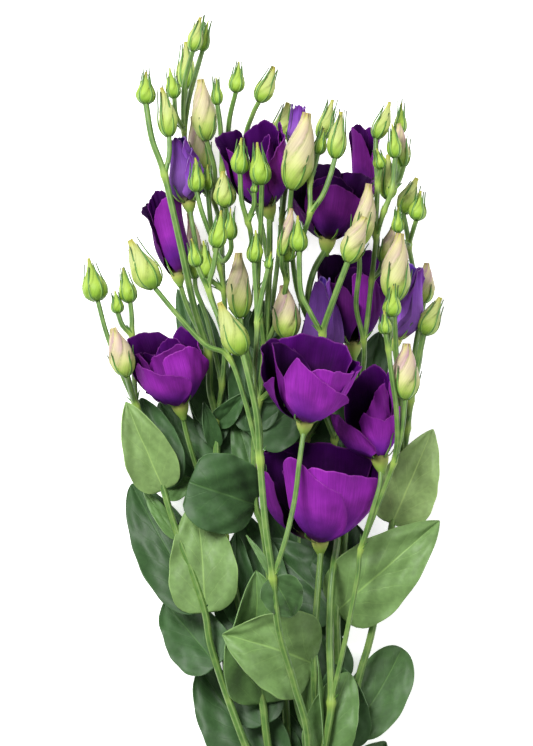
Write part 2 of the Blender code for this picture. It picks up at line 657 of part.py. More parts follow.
def fuse(name, pieces, finish_material):
    """Joins pieces into one solid with a Boolean union, and removes the pieces."""
    whole = pieces[0]
    whole.name = whole.data.name = name
    bpy.context.scene.collection.objects.link(whole)
    whole.data.materials.append(finish_material)
    if len(pieces) > 1:
        group = bpy.data.collections.new(name + "_pieces")
        bpy.context.scene.collection.children.link(group)
        for piece in pieces[1:]:
            group.objects.link(piece)
        union = whole.modifiers.new("Union", "BOOLEAN")
        union.operation = "UNION"
        union.operand_type = "COLLECTION"
        union.collection = group
        union.solver = "EXACT"
        graph = bpy.context.evaluated_depsgraph_get()
        joined = bpy.data.meshes.new_from_object(whole.evaluated_get(graph))
        whole.modifiers.remove(union)
        merge_flat_faces(joined)
        whole.data = joined
        for piece in pieces[1:]:
            bpy.data.objects.remove(piece)
        bpy.data.collections.remove(group)
    return whole


def bloom_base(name):
    """The end of the stalk that carries this flower."""
    for _, main_stalk, stalks, _ in STEMS.values():
        for route, head in (main_stalk, *stalks):
            if head == ("bloom", name):
                return route[-1]
    raise KeyError(name)


def main():
    for old in list(bpy.data.objects):
        bpy.data.objects.remove(old)
    green = material("stem_and_leaf", (0.09, 0.2, 0.05), 0.55)
    purple = material("purple_petal", (0.1, 0.01, 0.18), 0.6)
    violet = material("violet_petal", (0.2, 0.08, 0.45), 0.6)
    rubber = material("band_rubber", (0.45, 0.35, 0.2), 0.7)
    nodes = [fuse("rubber_band", [band()], rubber)]
    for name, parts in STEMS.items():
        nodes.append(fuse(name, stem(name, *parts), green))
    for name, head in BLOOMS.items():
        petals = violet if "violet" in name else purple
        nodes.append(fuse(name, flower(name, bloom_base(name), *head), petals))
    corners = [vertex.co for node in nodes for vertex in node.data.vertices]
    low = [min(corner[side] for corner in corners) for side in range(3)]
    high = [max(corner[side] for corner in corners) for side in range(3)]
    origin = bpy.data.objects.new("bunch", None)
    bpy.context.scene.collection.objects.link(origin)
    origin.location = (-(low[0] + high[0]) / 2, -(low[1] + high[1]) / 2, -low[2])
    for node in nodes:
        node.parent = origin


if __name__ == "__main__":
    main()
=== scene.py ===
# %% [markdown]
# # A bunch of cut lisianthus, dressed
#
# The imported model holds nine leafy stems, thirteen flowers and a rubber band as plain faceted solids.
# This lesson puts finer pieces in their place: ridged stalks, waxy leaves with veins, closed buds whose
# petals wind round each other, and cups of thin velvety petals. Lengths in the tables are millimetres,
# because a florist thinks in them, and everything that Blender gets is in metres.

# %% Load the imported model
import math
import random

import bpy
import numpy as np
from mathutils import Matrix, Vector


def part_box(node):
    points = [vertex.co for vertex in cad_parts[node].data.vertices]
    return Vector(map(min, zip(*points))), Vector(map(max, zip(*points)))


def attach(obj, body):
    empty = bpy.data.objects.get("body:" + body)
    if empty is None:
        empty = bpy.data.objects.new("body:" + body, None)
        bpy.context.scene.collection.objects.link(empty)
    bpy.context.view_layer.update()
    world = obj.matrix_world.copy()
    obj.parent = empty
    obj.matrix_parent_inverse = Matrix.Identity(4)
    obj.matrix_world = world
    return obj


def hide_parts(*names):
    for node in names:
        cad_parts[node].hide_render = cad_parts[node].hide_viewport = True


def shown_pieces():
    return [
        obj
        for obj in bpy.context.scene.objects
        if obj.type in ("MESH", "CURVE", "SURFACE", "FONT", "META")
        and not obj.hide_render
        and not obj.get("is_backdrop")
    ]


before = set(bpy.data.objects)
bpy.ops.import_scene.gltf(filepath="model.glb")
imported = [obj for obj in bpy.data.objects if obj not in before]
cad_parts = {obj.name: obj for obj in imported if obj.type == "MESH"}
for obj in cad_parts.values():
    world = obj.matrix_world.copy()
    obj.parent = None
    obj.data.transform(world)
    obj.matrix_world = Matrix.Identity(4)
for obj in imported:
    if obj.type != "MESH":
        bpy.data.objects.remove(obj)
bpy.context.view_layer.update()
MM = 0.001

# %% [markdown]
# ## Where everything grows
#
# A plant is a tree of paths, so the bunch is described as paths. The places below were set out with
# x across the bunch, y along it and z above the table. The model's own frame has its origin under the
# middle of the bunch, so one shift, read from the band's box, takes every place into that frame.

# %% From the planting plan to the model's frame
BAND_CENTRE = (22, -330)
BAND_WIDTH = 8
BAND_WALL = 1.5
BAND_SIDES = 16
BUNDLE_RADIUS = 8.1
SEAT_GAP = 0.3
GRIP_LENGTH = 24
FOOT_LENGTH = 66
FOOT_SPREAD = 9
MAIN_RADII = (2.9, 2.0)
STALK_RADII = (1.7, 1.6)

band_inner = (BUNDLE_RADIUS + MAIN_RADII[0] + SEAT_GAP) / math.cos(math.pi / BAND_SIDES)
band_outer = band_inner + BAND_WALL
band_low, band_high = (Vector(corner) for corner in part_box("rubber_band"))
band_middle = (band_low + band_high) / 2
SHIFT = Vector((band_middle.x - BAND_CENTRE[0] * MM, band_middle.y - BAND_CENTRE[1] * MM,
                band_middle.z - band_outer * MM))


def place(point):
    """A place in the plan's millimetres as a vector in the model's frame."""
    return Vector(point) * MM + SHIFT


print("shift in mm:", [round(value * 1000, 2) for value in SHIFT])

# %% [markdown]
# ## The planting plan
#
# A random rule could scatter stalks and leaves, but then no flower would stand where it should, so the
# plan lists each of them. A stem has a seat in the bundle (degrees round it, None for the middle), its
# main stalk from the band upwards, its side stalks and its leaves. A stalk is its route and what it
# carries: a flower's name, or a bud's tip, width and stage. A leaf is (base, tip, width, roll, arch,
# cup, tone, taper); its tone is partly its own shade of green and partly painted shade, low for
# leaves that lie deep in the bunch.

# %% The planting plan
STEMS = {
    "stem_front": (
        95,
        ([(27, -242, 58), (18, -201, 74), (8, -166, 88), (4, -131, 97), (-1, -94, 103),
            (-4, -57, 105), (-6, -28, 111), (-11, -4, 114), (-15, 12, 113)],
            ("bud", (-30, 45, 115), 17, "lime")),
        [
            ([(-4, -57, 105), (-13, -20, 106), (-24, 10, 106), (-39, 18, 108), (-56, 36, 109),
                (-71, 54, 108)], ("bud", (-87, 85, 108), 18, "lime")),
            ([(-24, 10, 106), (-30, 33, 103), (-37, 53, 100), (-34, 67, 102), (-32, 80, 103)],
                ("bud", (-29, 104, 103), 11, "green")),
            ([(-37, 53, 100), (-41, 61, 101), (-44, 68, 102)],
                ("bud", (-48, 86, 102), 9, "green")),
            ([(-3, -54, 105), (-4, -36, 100), (-8, -10, 90), (-6, 32, 84), (-8, 71, 84)],
                ("bud", (-7, 92, 84), 10, "green")),
            ([(-6, 32, 84), (-3, 50, 86), (1, 67, 87)], ("bud", (3, 78, 87), 5, "green")),
            ([(4, -131, 97), (12, -107, 99), (18, -81, 98), (21, -57, 101), (24, -36, 98)],
                ("bloom", "bloom_centre")),
        ],
        [
            ((4, -131, 93), (17, -156, 84), 27, 0, 2, 4, 0.35, 0.75),
            ((4, -131, 97), (-13, -104, 92), 5, 0, 2, 0, 0.5, 0.75),
        ],
    ),
    "stem_low": (
        None,
        ([(31, -243, 40), (31, -178, 48), (35, -122, 42), (35, -115, 41)],
            ("bloom", "bloom_low")),
        [],
        [
            ((31, -189, 48), (-28, -169, 70), 58, 0, 7, 6, 0.62, 0.75),
            ((31, -238, 42), (22, -157, 52), 17, 0, 0, 2, 0.55, 0.75),
        ],
    ),
    "stem_right_front": (
        50,
        ([(38, -242, 50), (42, -214, 54), (41, -173, 52), (42, -142, 49), (44, -124, 42),
            (47, -106, 16), (47, -77, 8), (45, -44, 10), (41, -14, 32), (39, -2, 50),
            (41, 6, 66), (40, 15, 77), (36, 25, 81), (43, 47, 90), (52, 71, 94)],
            ("bud", (63, 100, 95), 15, "cream")),
        [
            ([(45, -44, 10), (37, -24, 28), (33, -8, 43), (34, 2, 50)],
                ("bloom", "bloom_violet_mid")),
            ([(36, 25, 81), (28, 39, 86), (22, 53, 87), (21, 78, 88)],
                ("bud", (20, 101, 88), 11, "green")),
            ([(42, -214, 54), (51, -173, 60), (59, -131, 64), (61, -114, 65), (72, -85, 72),
                (82, -58, 80), (87, -37, 86), (89, -17, 88)], ("bud", (90, 19, 88), 18, "blush")),
            ([(82, -58, 80), (84, -42, 86), (83, -21, 92), (80, -1, 97), (78, 15, 98),
                (77, 20, 100), (76, 25, 101)], ("bud", (75, 40, 102), 8, "green")),
            ([(78, 15, 98), (79, 25, 97), (80, 36, 96)], ("bud", (81, 56, 96), 11, "green")),
            ([(61, -114, 65), (68, -90, 72), (73, -73, 73), (74, -61, 70)],
                ("bloom", "bloom_right")),
        ],
        [
            ((40, -258, 46), (53, -195, 46), 34, 0, 3, 4, 0.5, 0.55),
            ((37, -241, 50), (33, -183, 61), 9, 75, 0, 0, 0.5, 0.75),
        ],
    ),
    "stem_right": (
        5,
        ([(54, -244, 26), (60, -202, 28), (69, -169, 29), (81, -105, 33), (89, -57, 36),
            (94, -18, 44), (98, 5, 50), (102, 25, 52)], ("bud", (113, 49, 54), 14, "lime")),
        [
            ([(94, -18, 44), (97, 15, 34), (103, 46, 30)], ("bud", (105, 72, 28), 13, "blush")),
            ([(91, -37, 42), (86, -1, 46), (83, 18, 48)], ("bloom", "bloom_violet_right")),
            ([(89, -57, 38), (87, -18, 48), (84, 15, 62), (82, 46, 78)],
                ("bud", (86, 90, 80), 19, "cream")),
            ([(94, -18, 44), (101, 15, 30), (100, 48, 24), (95, 72, 36), (93, 83, 46),
                (95, 92, 54), (97, 99, 60)], ("bud", (100, 118, 62), 11, "green")),
            ([(93, 83, 46), (91, 94, 47), (89, 104, 47)], ("bud", (98, 127, 46), 13, "lime")),
            ([(93, 83, 46), (88, 86, 58), (85, 91, 68)], ("bud", (85, 107, 70), 8, "green")),
        ],
        [
            ((82, -99, 35), (108, -37, 50), 40, 0, 4, 3, 0.84, 0.75),
            ((59, -237, 26), (90, -181, 8), 39, 0, 2, 3, 0.36, 0.45),
            ((57, -247, 26), (45, -190, 42), 36, 0, 0, 2, 0.3, 0.6),
            ((49, -280, 19), (79, -243, 8), 30, 0, 2, 4, 0.35, 0.75),
        ],
    ),
    "stem_right_back": (
        -40,
        ([(47, -245, 18), (47, -201, 24), (46, -156, 30), (50, -123, 22), (53, -84, 9),
            (55, -51, 9), (58, -18, 18), (58, -1, 24), (57, 13, 27)], ("bloom", "bloom_deep")),
        [
            ([(58, -18, 18), (63, 2, 40), (63, 21, 56), (58, 43, 68), (60, 68, 74),
                (59, 81, 76)], ("bud", (66, 122, 77), 14, "cream")),
            ([(63, 21, 56), (65, 32, 60), (68, 60, 65), (70, 79, 66), (71, 89, 66),
                (71, 103, 66), (72, 122, 66), (73, 127, 68), (74, 132, 70)],
                ("bud", (71, 145, 72), 8, "green")),
            ([(72, 122, 66), (71, 138, 60), (71, 152, 57)], ("bud", (80, 176, 56), 10, "lime")),
            ([(71, 89, 66), (76, 105, 68), (81, 118, 70), (83, 139, 70)],
                ("bud", (81, 161, 70), 9, "green")),
            ([(76, 105, 68), (78, 109, 60), (79, 113, 56)], ("bud", (79, 142, 52), 12, "lime")),
            ([(81, 118, 70), (86, 125, 62), (89, 134, 58)], ("bud", (86, 162, 54), 10, "blush")),
            ([(81, 118, 70), (86, 132, 50), (87, 156, 42)], ("bud", (88, 176, 40), 8, "green")),
            ([(68, 60, 65), (73, 66, 58), (75, 72, 54)], ("bud", (82, 95, 52), 10, "blush")),
        ],
        [
            ((47, -155, 31), (112, -97, 46), 50, 0, 8, 2, 0.62, 0.75),
            ((46, -158, 27), (-5, -109, 9), 44, 0, 0, 0, 0.2, 0.75),
            ((47, -205, 22), (28, -157, 14), 30, 0, 0, 2, 0.25, 0.75),
            ((49, -264, 14), (47, -217, 12), 24, 0, 0, 2, 0.3, 0.75),
        ],
    ),
    "stem_left": (
        140,
        ([(-15, -240, 38), (-35, -182, 44), (-40, -156, 46), (-49, -128, 46), (-57, -108, 46),
            (-67, -76, 46), (-76, -44, 46), (-85, -21, 46), (-88, -10, 60), (-90, -2, 70)],
            ("bud", (-99, 29, 75), 16, "blush")),
        [
            ([(-85, -21, 46), (-94, -1, 44), (-104, 25, 42), (-110, 47, 40)],
                ("bud", (-116, 75, 40), 16, "green")),
            ([(-85, -21, 46), (-87, 8, 36), (-88, 25, 34), (-88, 36, 34), (-89, 46, 34)],
                ("bud", (-94, 69, 34), 11, "green")),
            ([(-88, 25, 34), (-94, 31, 36), (-97, 39, 36)], ("bud", (-99, 54, 36), 8, "green")),
        ],
        [
            ((-38, -156, 50), (-47, -83, 41), 45, 0, 2, 3, 0.66, 0.75),
            ((-41, -153, 42), (-89, -73, 10), 44, 0, 2, 3, 0.24, 0.65),
            ((-68, -76, 50), (-91, -19, 58), 33, 0, 3, 6, 0.72, 0.75),
            ((-65, -74, 42), (-82, -16, 30), 36, 0, 0, 4, 0.3, 0.75),
            ((-57, -109, 45), (-80, -76, 38), 12, 30, 0, 0, 0.5, 0.75),
            ((-66, -78, 44), (-48, -70, 34), 16, 0, 0, 2, 0.45, 0.75),
            ((-33, -192, 42), (-68, -150, 6), 40, 0, 0, 3, 0.3, 0.75),
            ((-2, -279, 31), (-34, -248, 28), 26, 0, 2, 4, 0.25, 0.75),
        ],
    ),
    "stem_left_mid": (
        185,
        ([(1, -244, 30), (-3, -213, 34), (-12, -175, 32), (-25, -122, 30), (-32, -70, 30),
            (-33, -31, 32), (-37, -11, 36), (-38, 13, 44), (-47, 43, 54), (-55, 80, 64),
            (-66, 128, 66), (-74, 151, 66), (-78, 174, 64)],
            ("bud", (-78, 195, 64), 12, "green")),
        [
            ([(-66, 128, 66), (-63, 141, 64), (-63, 153, 62)],
                ("bud", (-68, 185, 62), 12, "lime")),
            ([(-33, -31, 32), (-29, -8, 34), (-27, 22, 38), (-28, 54, 44), (-33, 80, 50),
                (-37, 91, 66), (-42, 105, 72), (-45, 117, 72)],
                ("bud", (-46, 139, 73), 10, "green")),
            ([(-33, 80, 50), (-36, 96, 60), (-38, 118, 62)], ("bud", (-38, 135, 62), 7, "green")),
            ([(-33, 80, 50), (-28, 94, 64), (-26, 107, 74)], ("bud", (-28, 130, 78), 14, "lime")),
            ([(-38, 13, 44), (-45, 29, 32), (-52, 44, 32), (-57, 60, 35)],
                ("bloom", "bloom_rolled_left")),
            ([(-29, -106, 30), (-37, -86, 28), (-46, -61, 32), (-52, -40, 40), (-55, -26, 45)],
                ("bloom", "bloom_left")),
            ([(-28, 54, 44), (-42, 67, 47), (-47, 90, 51), (-50, 107, 47)],
                ("bloom", "bloom_violet_left")),
            ([(-28, 54, 44), (-30, 94, 26), (-35, 114, 20), (-41, 129, 19)],
                ("bud", (-48, 169, 17), 15, "blush")),
            ([(-35, 114, 20), (-34, 133, 28), (-39, 152, 32)],
                ("bud", (-43, 192, 34), 16, "cream")),
            ([(-35, 114, 20), (-50, 130, 16), (-54, 159, 30), (-54, 186, 34), (-51, 200, 38),
                (-48, 210, 40)], ("bud", (-43, 232, 41), 10, "lime")),
            ([(-54, 159, 30), (-50, 183, 26), (-42, 211, 26)],
                ("bud", (-38, 231, 26), 7, "green")),
            ([(-54, 159, 30), (-54, 174, 22), (-53, 187, 18)],
                ("bud", (-53, 218, 14), 12, "lime")),
            ([(-54, 159, 30), (-59, 168, 42), (-60, 179, 44)],
                ("bud", (-63, 199, 44), 9, "green")),
            ([(-29, -8, 34), (-39, 35, 24), (-46, 54, 23), (-47, 62, 23)],
                ("bud", (-51, 105, 20), 11, "blush")),
            ([(-27, 22, 38), (-35, 47, 48), (-40, 62, 52)], ("bud", (-41, 86, 54), 11, "green")),
            ([(-33, 80, 50), (-28, 72, 68), (-23, 79, 76), (-23, 86, 78)],
                ("bud", (-23, 106, 79), 8, "green")),
            ([(-29, 67, 47), (-29, 94, 30), (-29, 133, 30), (-30, 159, 38), (-32, 175, 40)],
                ("bud", (-33, 193, 40), 7, "green")),
            ([(-29, 133, 30), (-26, 149, 24), (-24, 167, 34), (-20, 183, 42)],
                ("bud", (-18, 203, 43), 10, "green")),
        ],
        [
            ((-7, -216, 38), (-6, -129, 58), 52, 16, 0, 9, 0.52, 0.75),
            ((-40, -78, 28), (-71, -19, 14), 36, 0, 0, 3, 0.3, 0.75),
            ((-34, -35, 28), (-59, 56, 0), 24, 0, 0, 2, 0.3, 0.75),
            ((-33, -33, 34), (-14, -13, 42), 15, 0, 2, 3, 0.3, 0.75),
            ((-33, -48, 32), (-41, -19, 40), 11, 0, 2, 2, 0.3, 0.75),
            ((-1, -267, 27), (-44, -195, 6), 50, 0, 0, 4, 0.25, 0.6),
            ((-15, -165, 31), (-20, -104, 30), 24, 0, 0, 2, 0.2, 0.75),
        ],
    ),
    "stem_mid_back": (
        -130,
        ([(14, -246, 12), (11, -202, 16), (4, -149, 24), (-2, -103, 32), (-7, -86, 36),
            (-8, -50, 39), (-5, -18, 42), (-1, 15, 44), (1, 48, 46), (2, 80, 47),
            (2, 103, 48)], ("bloom", "bloom_upper")),
        [
            ([(-1, 15, 44), (-6, 54, 58), (-10, 89, 76), (-12, 97, 80), (-16, 111, 86),
                (-17, 128, 88)], ("bud", (-16, 151, 89), 11, "green")),
            ([(-12, 97, 80), (-8, 108, 84), (-8, 116, 86)], ("bud", (-7, 123, 86), 4, "green")),
            ([(-6, 54, 58), (-4, 89, 78), (-3, 121, 90)], ("bud", (-6, 148, 90), 13, "green")),
            ([(-4, -18, 42), (-10, 5, 48), (-15, 23, 54), (-17, 36, 56)],
                ("bud", (-18, 78, 58), 16, "cream")),
            ([(-4, -18, 42), (9, -5, 50), (14, 10, 56), (14, 22, 58)],
                ("bud", (11, 57, 60), 18, "blush")),
            ([(-1, 15, 44), (5, 54, 24), (10, 101, 14), (10, 137, 12), (9, 154, 13)],
                ("bud", (14, 178, 15), 14, "lime")),
            ([(10, 101, 14), (13, 124, 18), (18, 145, 27)], ("bloom", "bloom_violet_tip")),
            ([(3, 70, 46), (-5, 104, 24), (-13, 127, 16), (-14, 153, 22), (-9, 169, 34),
                (-5, 177, 38)], ("bud", (5, 200, 40), 12, "lime")),
            ([(-1, 15, 44), (9, 41, 58), (13, 60, 66), (13, 72, 68)],
                ("bud", (14, 96, 70), 12, "green")),
            ([(13, 60, 66), (10, 69, 74), (10, 76, 77)], ("bud", (16, 106, 80), 9, "blush")),
        ],
        [
            ((-13, -86, 38), (-49, -71, 60), 52, 0, 5, 3, 0.3, 0.2),
            ((-9, -75, 37), (-21, -26, 26), 21, 0, 0, 2, 0.35, 0.75),
            ((3, -149, 24), (-17, -91, 14), 30, 0, 0, 2, 0.25, 0.75),
            ((-7, -44, 40), (30, -9, 30), 36, 0, 0, 2, 0.22, 0.75),
            ((-1, 14, 42), (-3, 48, 34), 24, 0, 0, 3, 0.3, 0.75),
            ((14, -261, 12), (-6, -220, 7), 28, 0, 0, 2, 0.25, 0.75),
            ((16, -278, 9), (14, -209, 3), 30, 0, 0, 2, 0.3, 0.75),
        ],
    ),
    "stem_back": (
        -85,
        ([(34, -246, 9), (29, -183, 8), (22, -123, 8), (22, -84, 7), (26, -44, 9),
            (29, -5, 22), (30, 28, 34), (27, 49, 45), (31, 67, 47), (39, 81, 42)],
            ("bloom", "bloom_mid")),
        [
            ([(30, 28, 34), (23, 47, 52), (21, 72, 66), (24, 89, 77), (28, 103, 84),
                (28, 123, 82), (31, 133, 80), (33, 141, 79)], ("bud", (37, 158, 78), 8, "green")),
            ([(28, 103, 84), (36, 114, 86), (41, 127, 86), (44, 138, 84)],
                ("bud", (48, 168, 84), 12, "lime")),
            ([(28, 123, 82), (31, 138, 68), (35, 151, 64)], ("bud", (43, 177, 62), 10, "lime")),
            ([(30, 28, 34), (20, 54, 50), (16, 84, 60), (15, 103, 74), (16, 118, 85)],
                ("bud", (26, 167, 90), 20, "cream")),
            ([(26, -44, 9), (42, -18, 6), (63, 28, 6), (75, 68, 7), (71, 91, 7), (66, 111, 8)],
                ("bloom", "bloom_top_right")),
        ],
        [
            ((29, -183, 9), (54, -123, 6), 30, 0, 0, 2, 0.2, 0.75),
            ((31, -219, 8), (44, -159, 6), 24, 0, 0, 2, 0.2, 0.75),
        ],
    ),
}

# Each flower: the middle of its mouth, its radius and how far its mouth opens
BLOOMS = {
    "bloom_centre": ((29, 12, 116), 28, 1.0),
    "bloom_low": ((34, -58, 56), 35, 1.0),
    "bloom_right": ((65, 0, 70), 20, 0.55),
    "bloom_left": ((-66, 19, 56), 22, 0.85),
    "bloom_upper": ((-12, 157, 64), 20, 0.5),
    "bloom_mid": ((44, 132, 46), 24.5, 0.75),
    "bloom_rolled_left": ((-69, 117, 39), 10, 0.2),
    "bloom_violet_left": ((-57, 153, 50), 12, -0.5),
    "bloom_violet_mid": ((36, 61, 61), 13.5, -0.6),
    "bloom_deep": ((56, 73, 34), 20.5, 0.7),
    "bloom_violet_right": ((92, 70, 52), 13.5, -0.3),
    "bloom_top_right": ((63, 162, 10), 8.5, 0.3),
    "bloom_violet_tip": ((21, 176, 35), 6, 0.0),
}

# Leaves that only fill the depths of the bunch, painted dark as its shade: stem, base, tip, width and tone
BACK_LEAVES = [
    ("stem_right_back", (57, -20, 9), (75, 28, 4), 26, 0.2),
    ("stem_left_mid", (-18, -64, 14), (-28, -18, 8), 30, 0.2),
    ("stem_left_mid", (-17, -176, 14), (-24, -110, 6), 34, 0.15),
    ("stem_left_mid", (-13, -228, 12), (-26, -170, 6), 36, 0.2),
    ("stem_mid_back", (-3, -275, 10), (-3, -209, 5), 40, 0.2),
    ("stem_back", (22, -143, 8), (-1, -84, 4), 42, 0.15),
    ("stem_right_back", (47, -149, 12), (57, -97, 4), 42, 0.15),
    ("stem_back", (30, -64, 12), (37, -13, 5), 44, 0.2),
    ("stem_right_back", (55, -64, 9), (52, -16, 4), 30, 0.2),
    ("stem_left_mid", (-34, -34, 14), (-44, 48, 5), 30, 0.25),
    ("stem_left_mid", (-36, -44, 12), (-53, 28, 5), 24, 0.2),
    ("stem_mid_back", (-7, -37, 20), (-11, 42, 8), 34, 0.2),
    ("stem_mid_back", (-3, -18, 24), (13, 41, 10), 30, 0.2),
    ("stem_mid_back", (4, -162, 14), (-3, -110, 5), 34, 0.15),
    ("stem_back", (30, -216, 8), (22, -163, 4), 30, 0.15),
]
print("stems:", len(STEMS), "flowers:", len(BLOOMS), "filler leaves:", len(BACK_LEAVES))

# %% [markdown]
# ## Colours and nodes
#
# Colours are written as the sRGB hex values that a colour picker shows, and shaders want them linear,
# so one function converts them. Another adds a node with its settings and links, which keeps each
# material below short enough to read as a recipe. A node that is given as an input feeds it from its
# first output that is in use.

# %% Helpers for materials and node trees
def colour(code):
    """An sRGB hex value as the linear colour that shaders take."""
    channels = [int(code[start:start + 2], 16) / 255 for start in (1, 3, 5)]
    linear = [c / 12.92 if c <= 0.04045 else ((c + 0.055) / 1.055) ** 2.4 for c in channels]
    return (*linear, 1)


def feed(tree, node, sockets):
    """Gives each named input of a node its value, or a link from another node or its output."""
    for name, value in sockets.items():
        if isinstance(value, bpy.types.Node):
            value = next(output for output in value.outputs if output.enabled)
        if isinstance(value, bpy.types.NodeSocket):
            tree.links.new(value, node.inputs[name])
        else:
            node.inputs[name].default_value = value


def add_node(tree, kind, sockets=None, stops=(), **settings):
    """Adds a node with its settings, what its inputs hold or are fed by, and its ramp's stops."""
    made = tree.nodes.new(kind)
    for name, value in settings.items():
        setattr(made, name, value)
    feed(tree, made, sockets or {})
    for number, (at, code) in enumerate(stops):
        elements = made.color_ramp.elements
        element = elements[number] if number < len(elements) else elements.new(at)
        element.position = at
        element.color = colour(code)
    return made


def new_material(name):
    """An empty material, its node tree and its Principled shader."""
    made = bpy.data.materials.new(name)
    made.use_nodes = True
    return made, made.node_tree, made.node_tree.nodes["Principled BSDF"]


def own_marks(tree):
    """The three numbers that each point of a leaf, petal, bud or calyx carries as its mark."""
    mark = add_node(tree, "ShaderNodeAttribute", attribute_name="mark")
    return add_node(tree, "ShaderNodeSeparateXYZ", {0: mark.outputs["Vector"]}).outputs


# %% [markdown]
# ## Petals: velvet over an olive throat
#
# A lisianthus petal is a thin sheet of cells whose upper faces are domed, which scatters light like
# velvet and makes folds glow at their edges; here that glow is a highlight painted along each rim.
# Its outside shades from blue-violet low down to magenta near the lip, an olive throat shows at its
# base, and fine fibres run along it. Its inside is deep purple, painted darker towards the base as
# shade in the cup's hollow. Every petal carries a mark of its own: how far across it a point is, how
# far along, and which face it is on. The material reads these marks, so that the colour follows the
# petal however it curls.

# %% Petal materials
# Pattern sizes in millimetres: three clouds in 50
PETAL_CLOUD = 50 / 3


def petal_material(name, outside, inside, lip, throat):
    """Velvety petal tissue; the colours outside and inside run from a petal's base to its lip, and lip is
    the colour of a highlight painted along its rim.
    """
    made, tree, shader = new_material(name)
    where = add_node(tree, "ShaderNodeTexCoord")
    across, along, face = own_marks(tree)
    tone_and_shade = add_node(tree, "ShaderNodeAttribute", attribute_name="tone_and_shade")
    clouds = add_node(tree, "ShaderNodeTexNoise",
                      {"Vector": where.outputs["Object"], "Scale": 1 / (PETAL_CLOUD * MM), "Detail": 3.0})
    flat = add_node(tree, "ShaderNodeCombineXYZ", {"X": across, "Y": along})
    spread = add_node(tree, "ShaderNodeMapping", {"Vector": flat, "Scale": (20, 1.4, 1)})
    fibres = add_node(tree, "ShaderNodeTexNoise",
                      {"Vector": spread, "Scale": 1.6, "Detail": 5.0, "Roughness": 0.62})
    # The colours run from base to lip, but the clouds make their borders wander
    wander = add_node(tree, "ShaderNodeMath", {0: clouds, 1: 0.26, 2: -0.13}, operation="MULTIPLY_ADD")
    reach = add_node(tree, "ShaderNodeMath", {0: along, 1: wander}, operation="ADD")
    outer = add_node(tree, "ShaderNodeValToRGB", {0: reach}, outside)
    # Inside, the petal's own deep colour darkens towards the base as painted shade of the cup's hollow
    inner = add_node(tree, "ShaderNodeValToRGB", {0: reach}, inside)
    on_inside = add_node(tree, "ShaderNodeMath", {0: face, 1: 0.0}, operation="LESS_THAN")
    sides = add_node(tree, "ShaderNodeMix", {0: on_inside, 6: outer, 7: inner}, data_type="RGBA")
    low = add_node(tree, "ShaderNodeMapRange", {0: reach, 1: 0.1, 2: 0.03, 3: 0.0, 4: 0.8})
    based = add_node(tree, "ShaderNodeMix", {0: low, 6: sides, 7: colour(throat)}, data_type="RGBA")
    # A painted highlight along the rim, patchy with the clouds
    side = add_node(tree, "ShaderNodeMath", {0: across}, operation="ABSOLUTE")
    rim = add_node(tree, "ShaderNodeMath", {0: side, 1: along}, operation="MAXIMUM")
    edge = add_node(tree, "ShaderNodeMapRange", {0: rim, 1: 0.98, 2: 1.0, 3: 0.0, 4: 0.5})
    rim_highlight = add_node(tree, "ShaderNodeMath", {0: edge, 1: clouds}, operation="MULTIPLY")
    edged = add_node(tree, "ShaderNodeMix", {0: rim_highlight, 6: based, 7: colour(lip)}, data_type="RGBA")
    # How light the petal is comes from its tone, a small random spread with painted light and shade, and
    # from the clouds and the fibres
    painted_light_level = add_node(tree, "ShaderNodeMapRange",
                     {0: tone_and_shade.outputs["Fac"], 1: 0.0, 2: 1.0, 3: 0.25, 4: 1.6})
    patches = add_node(tree, "ShaderNodeMapRange", {0: clouds, 1: 0.3, 2: 0.7, 3: 0.78, 4: 1.22})
    streaks = add_node(tree, "ShaderNodeMapRange", {0: fibres, 1: 0.3, 2: 0.7, 3: 1.2, 4: 0.8})
    cloudy = add_node(tree, "ShaderNodeMath", {0: painted_light_level, 1: patches}, operation="MULTIPLY")
    value = add_node(tree, "ShaderNodeMath", {0: cloudy, 1: streaks}, operation="MULTIPLY")
    toned = add_node(tree, "ShaderNodeHueSaturation", {"Value": value, "Color": edged})
    bump = add_node(tree, "ShaderNodeBump", {"Strength": 0.3, "Distance": 0.0006, "Height": fibres})
    feed(tree, shader, {"Base Color": toned, "Roughness": 0.7, "IOR": 1.4, "Normal": bump,
                        "Specular IOR Level": 0.08, "Sheen Weight": 0.06, "Sheen Roughness": 0.45,
                        "Sheen Tint": colour("#9010C8")})
    return made


# Purple petal: deep magenta velvet outside, and inside deep purple painted nearly black towards the base as
# shade in the cup, where the eye sees no shine
purple_petal = petal_material(
    "purple_lisianthus_petal",
    [(0.0, "#4A2430"), (0.07, "#4E1A52"), (0.25, "#662290"), (0.6, "#8A2A9E"), (1.0, "#7E2290")],
    [(0.0, "#20100C"), (0.15, "#120014"), (0.55, "#200228"), (1.0, "#400458")],
    "#A050A0", "#8A8450")
# Violet petal: a flower that is still furled is paler and bluer, and its fibres show as pale streaks;
# inside it too is painted darker towards the base as shade
violet_petal = petal_material(
    "violet_lisianthus_petal",
    [(0.0, "#7A7448"), (0.08, "#5A4450"), (0.2, "#6C4890"), (0.55, "#8452AC"), (0.85, "#7440A0"),
     (1.0, "#602A80")],
    [(0.0, "#40302A"), (0.2, "#240A48"), (0.6, "#3A1C74"), (1.0, "#5C34A0")],
    "#C8B0D8", "#B9C07A")
print("petal tissue:", purple_petal.name, violet_petal.name)

# %% [markdown]
# ## Leaves: wax over green
#
# Lisianthus leaves are blue-green because a bloom of wax covers them. The wax scatters light, so they
# look milky where they are lit and have no sharp shine. A midrib runs from base to tip, and side
# nerves leave it one after another and arch forwards, all paler than the blade. They are drawn from
# the leaf's own marks, so that they follow it however it bends.

# %% Leaf material
# A blotch every 20 mm, and 33 speckles in 100 mm, as coarse as they need to be to show
LEAF_MOTTLE = 20
LEAF_SPECKLE = 100 / 33


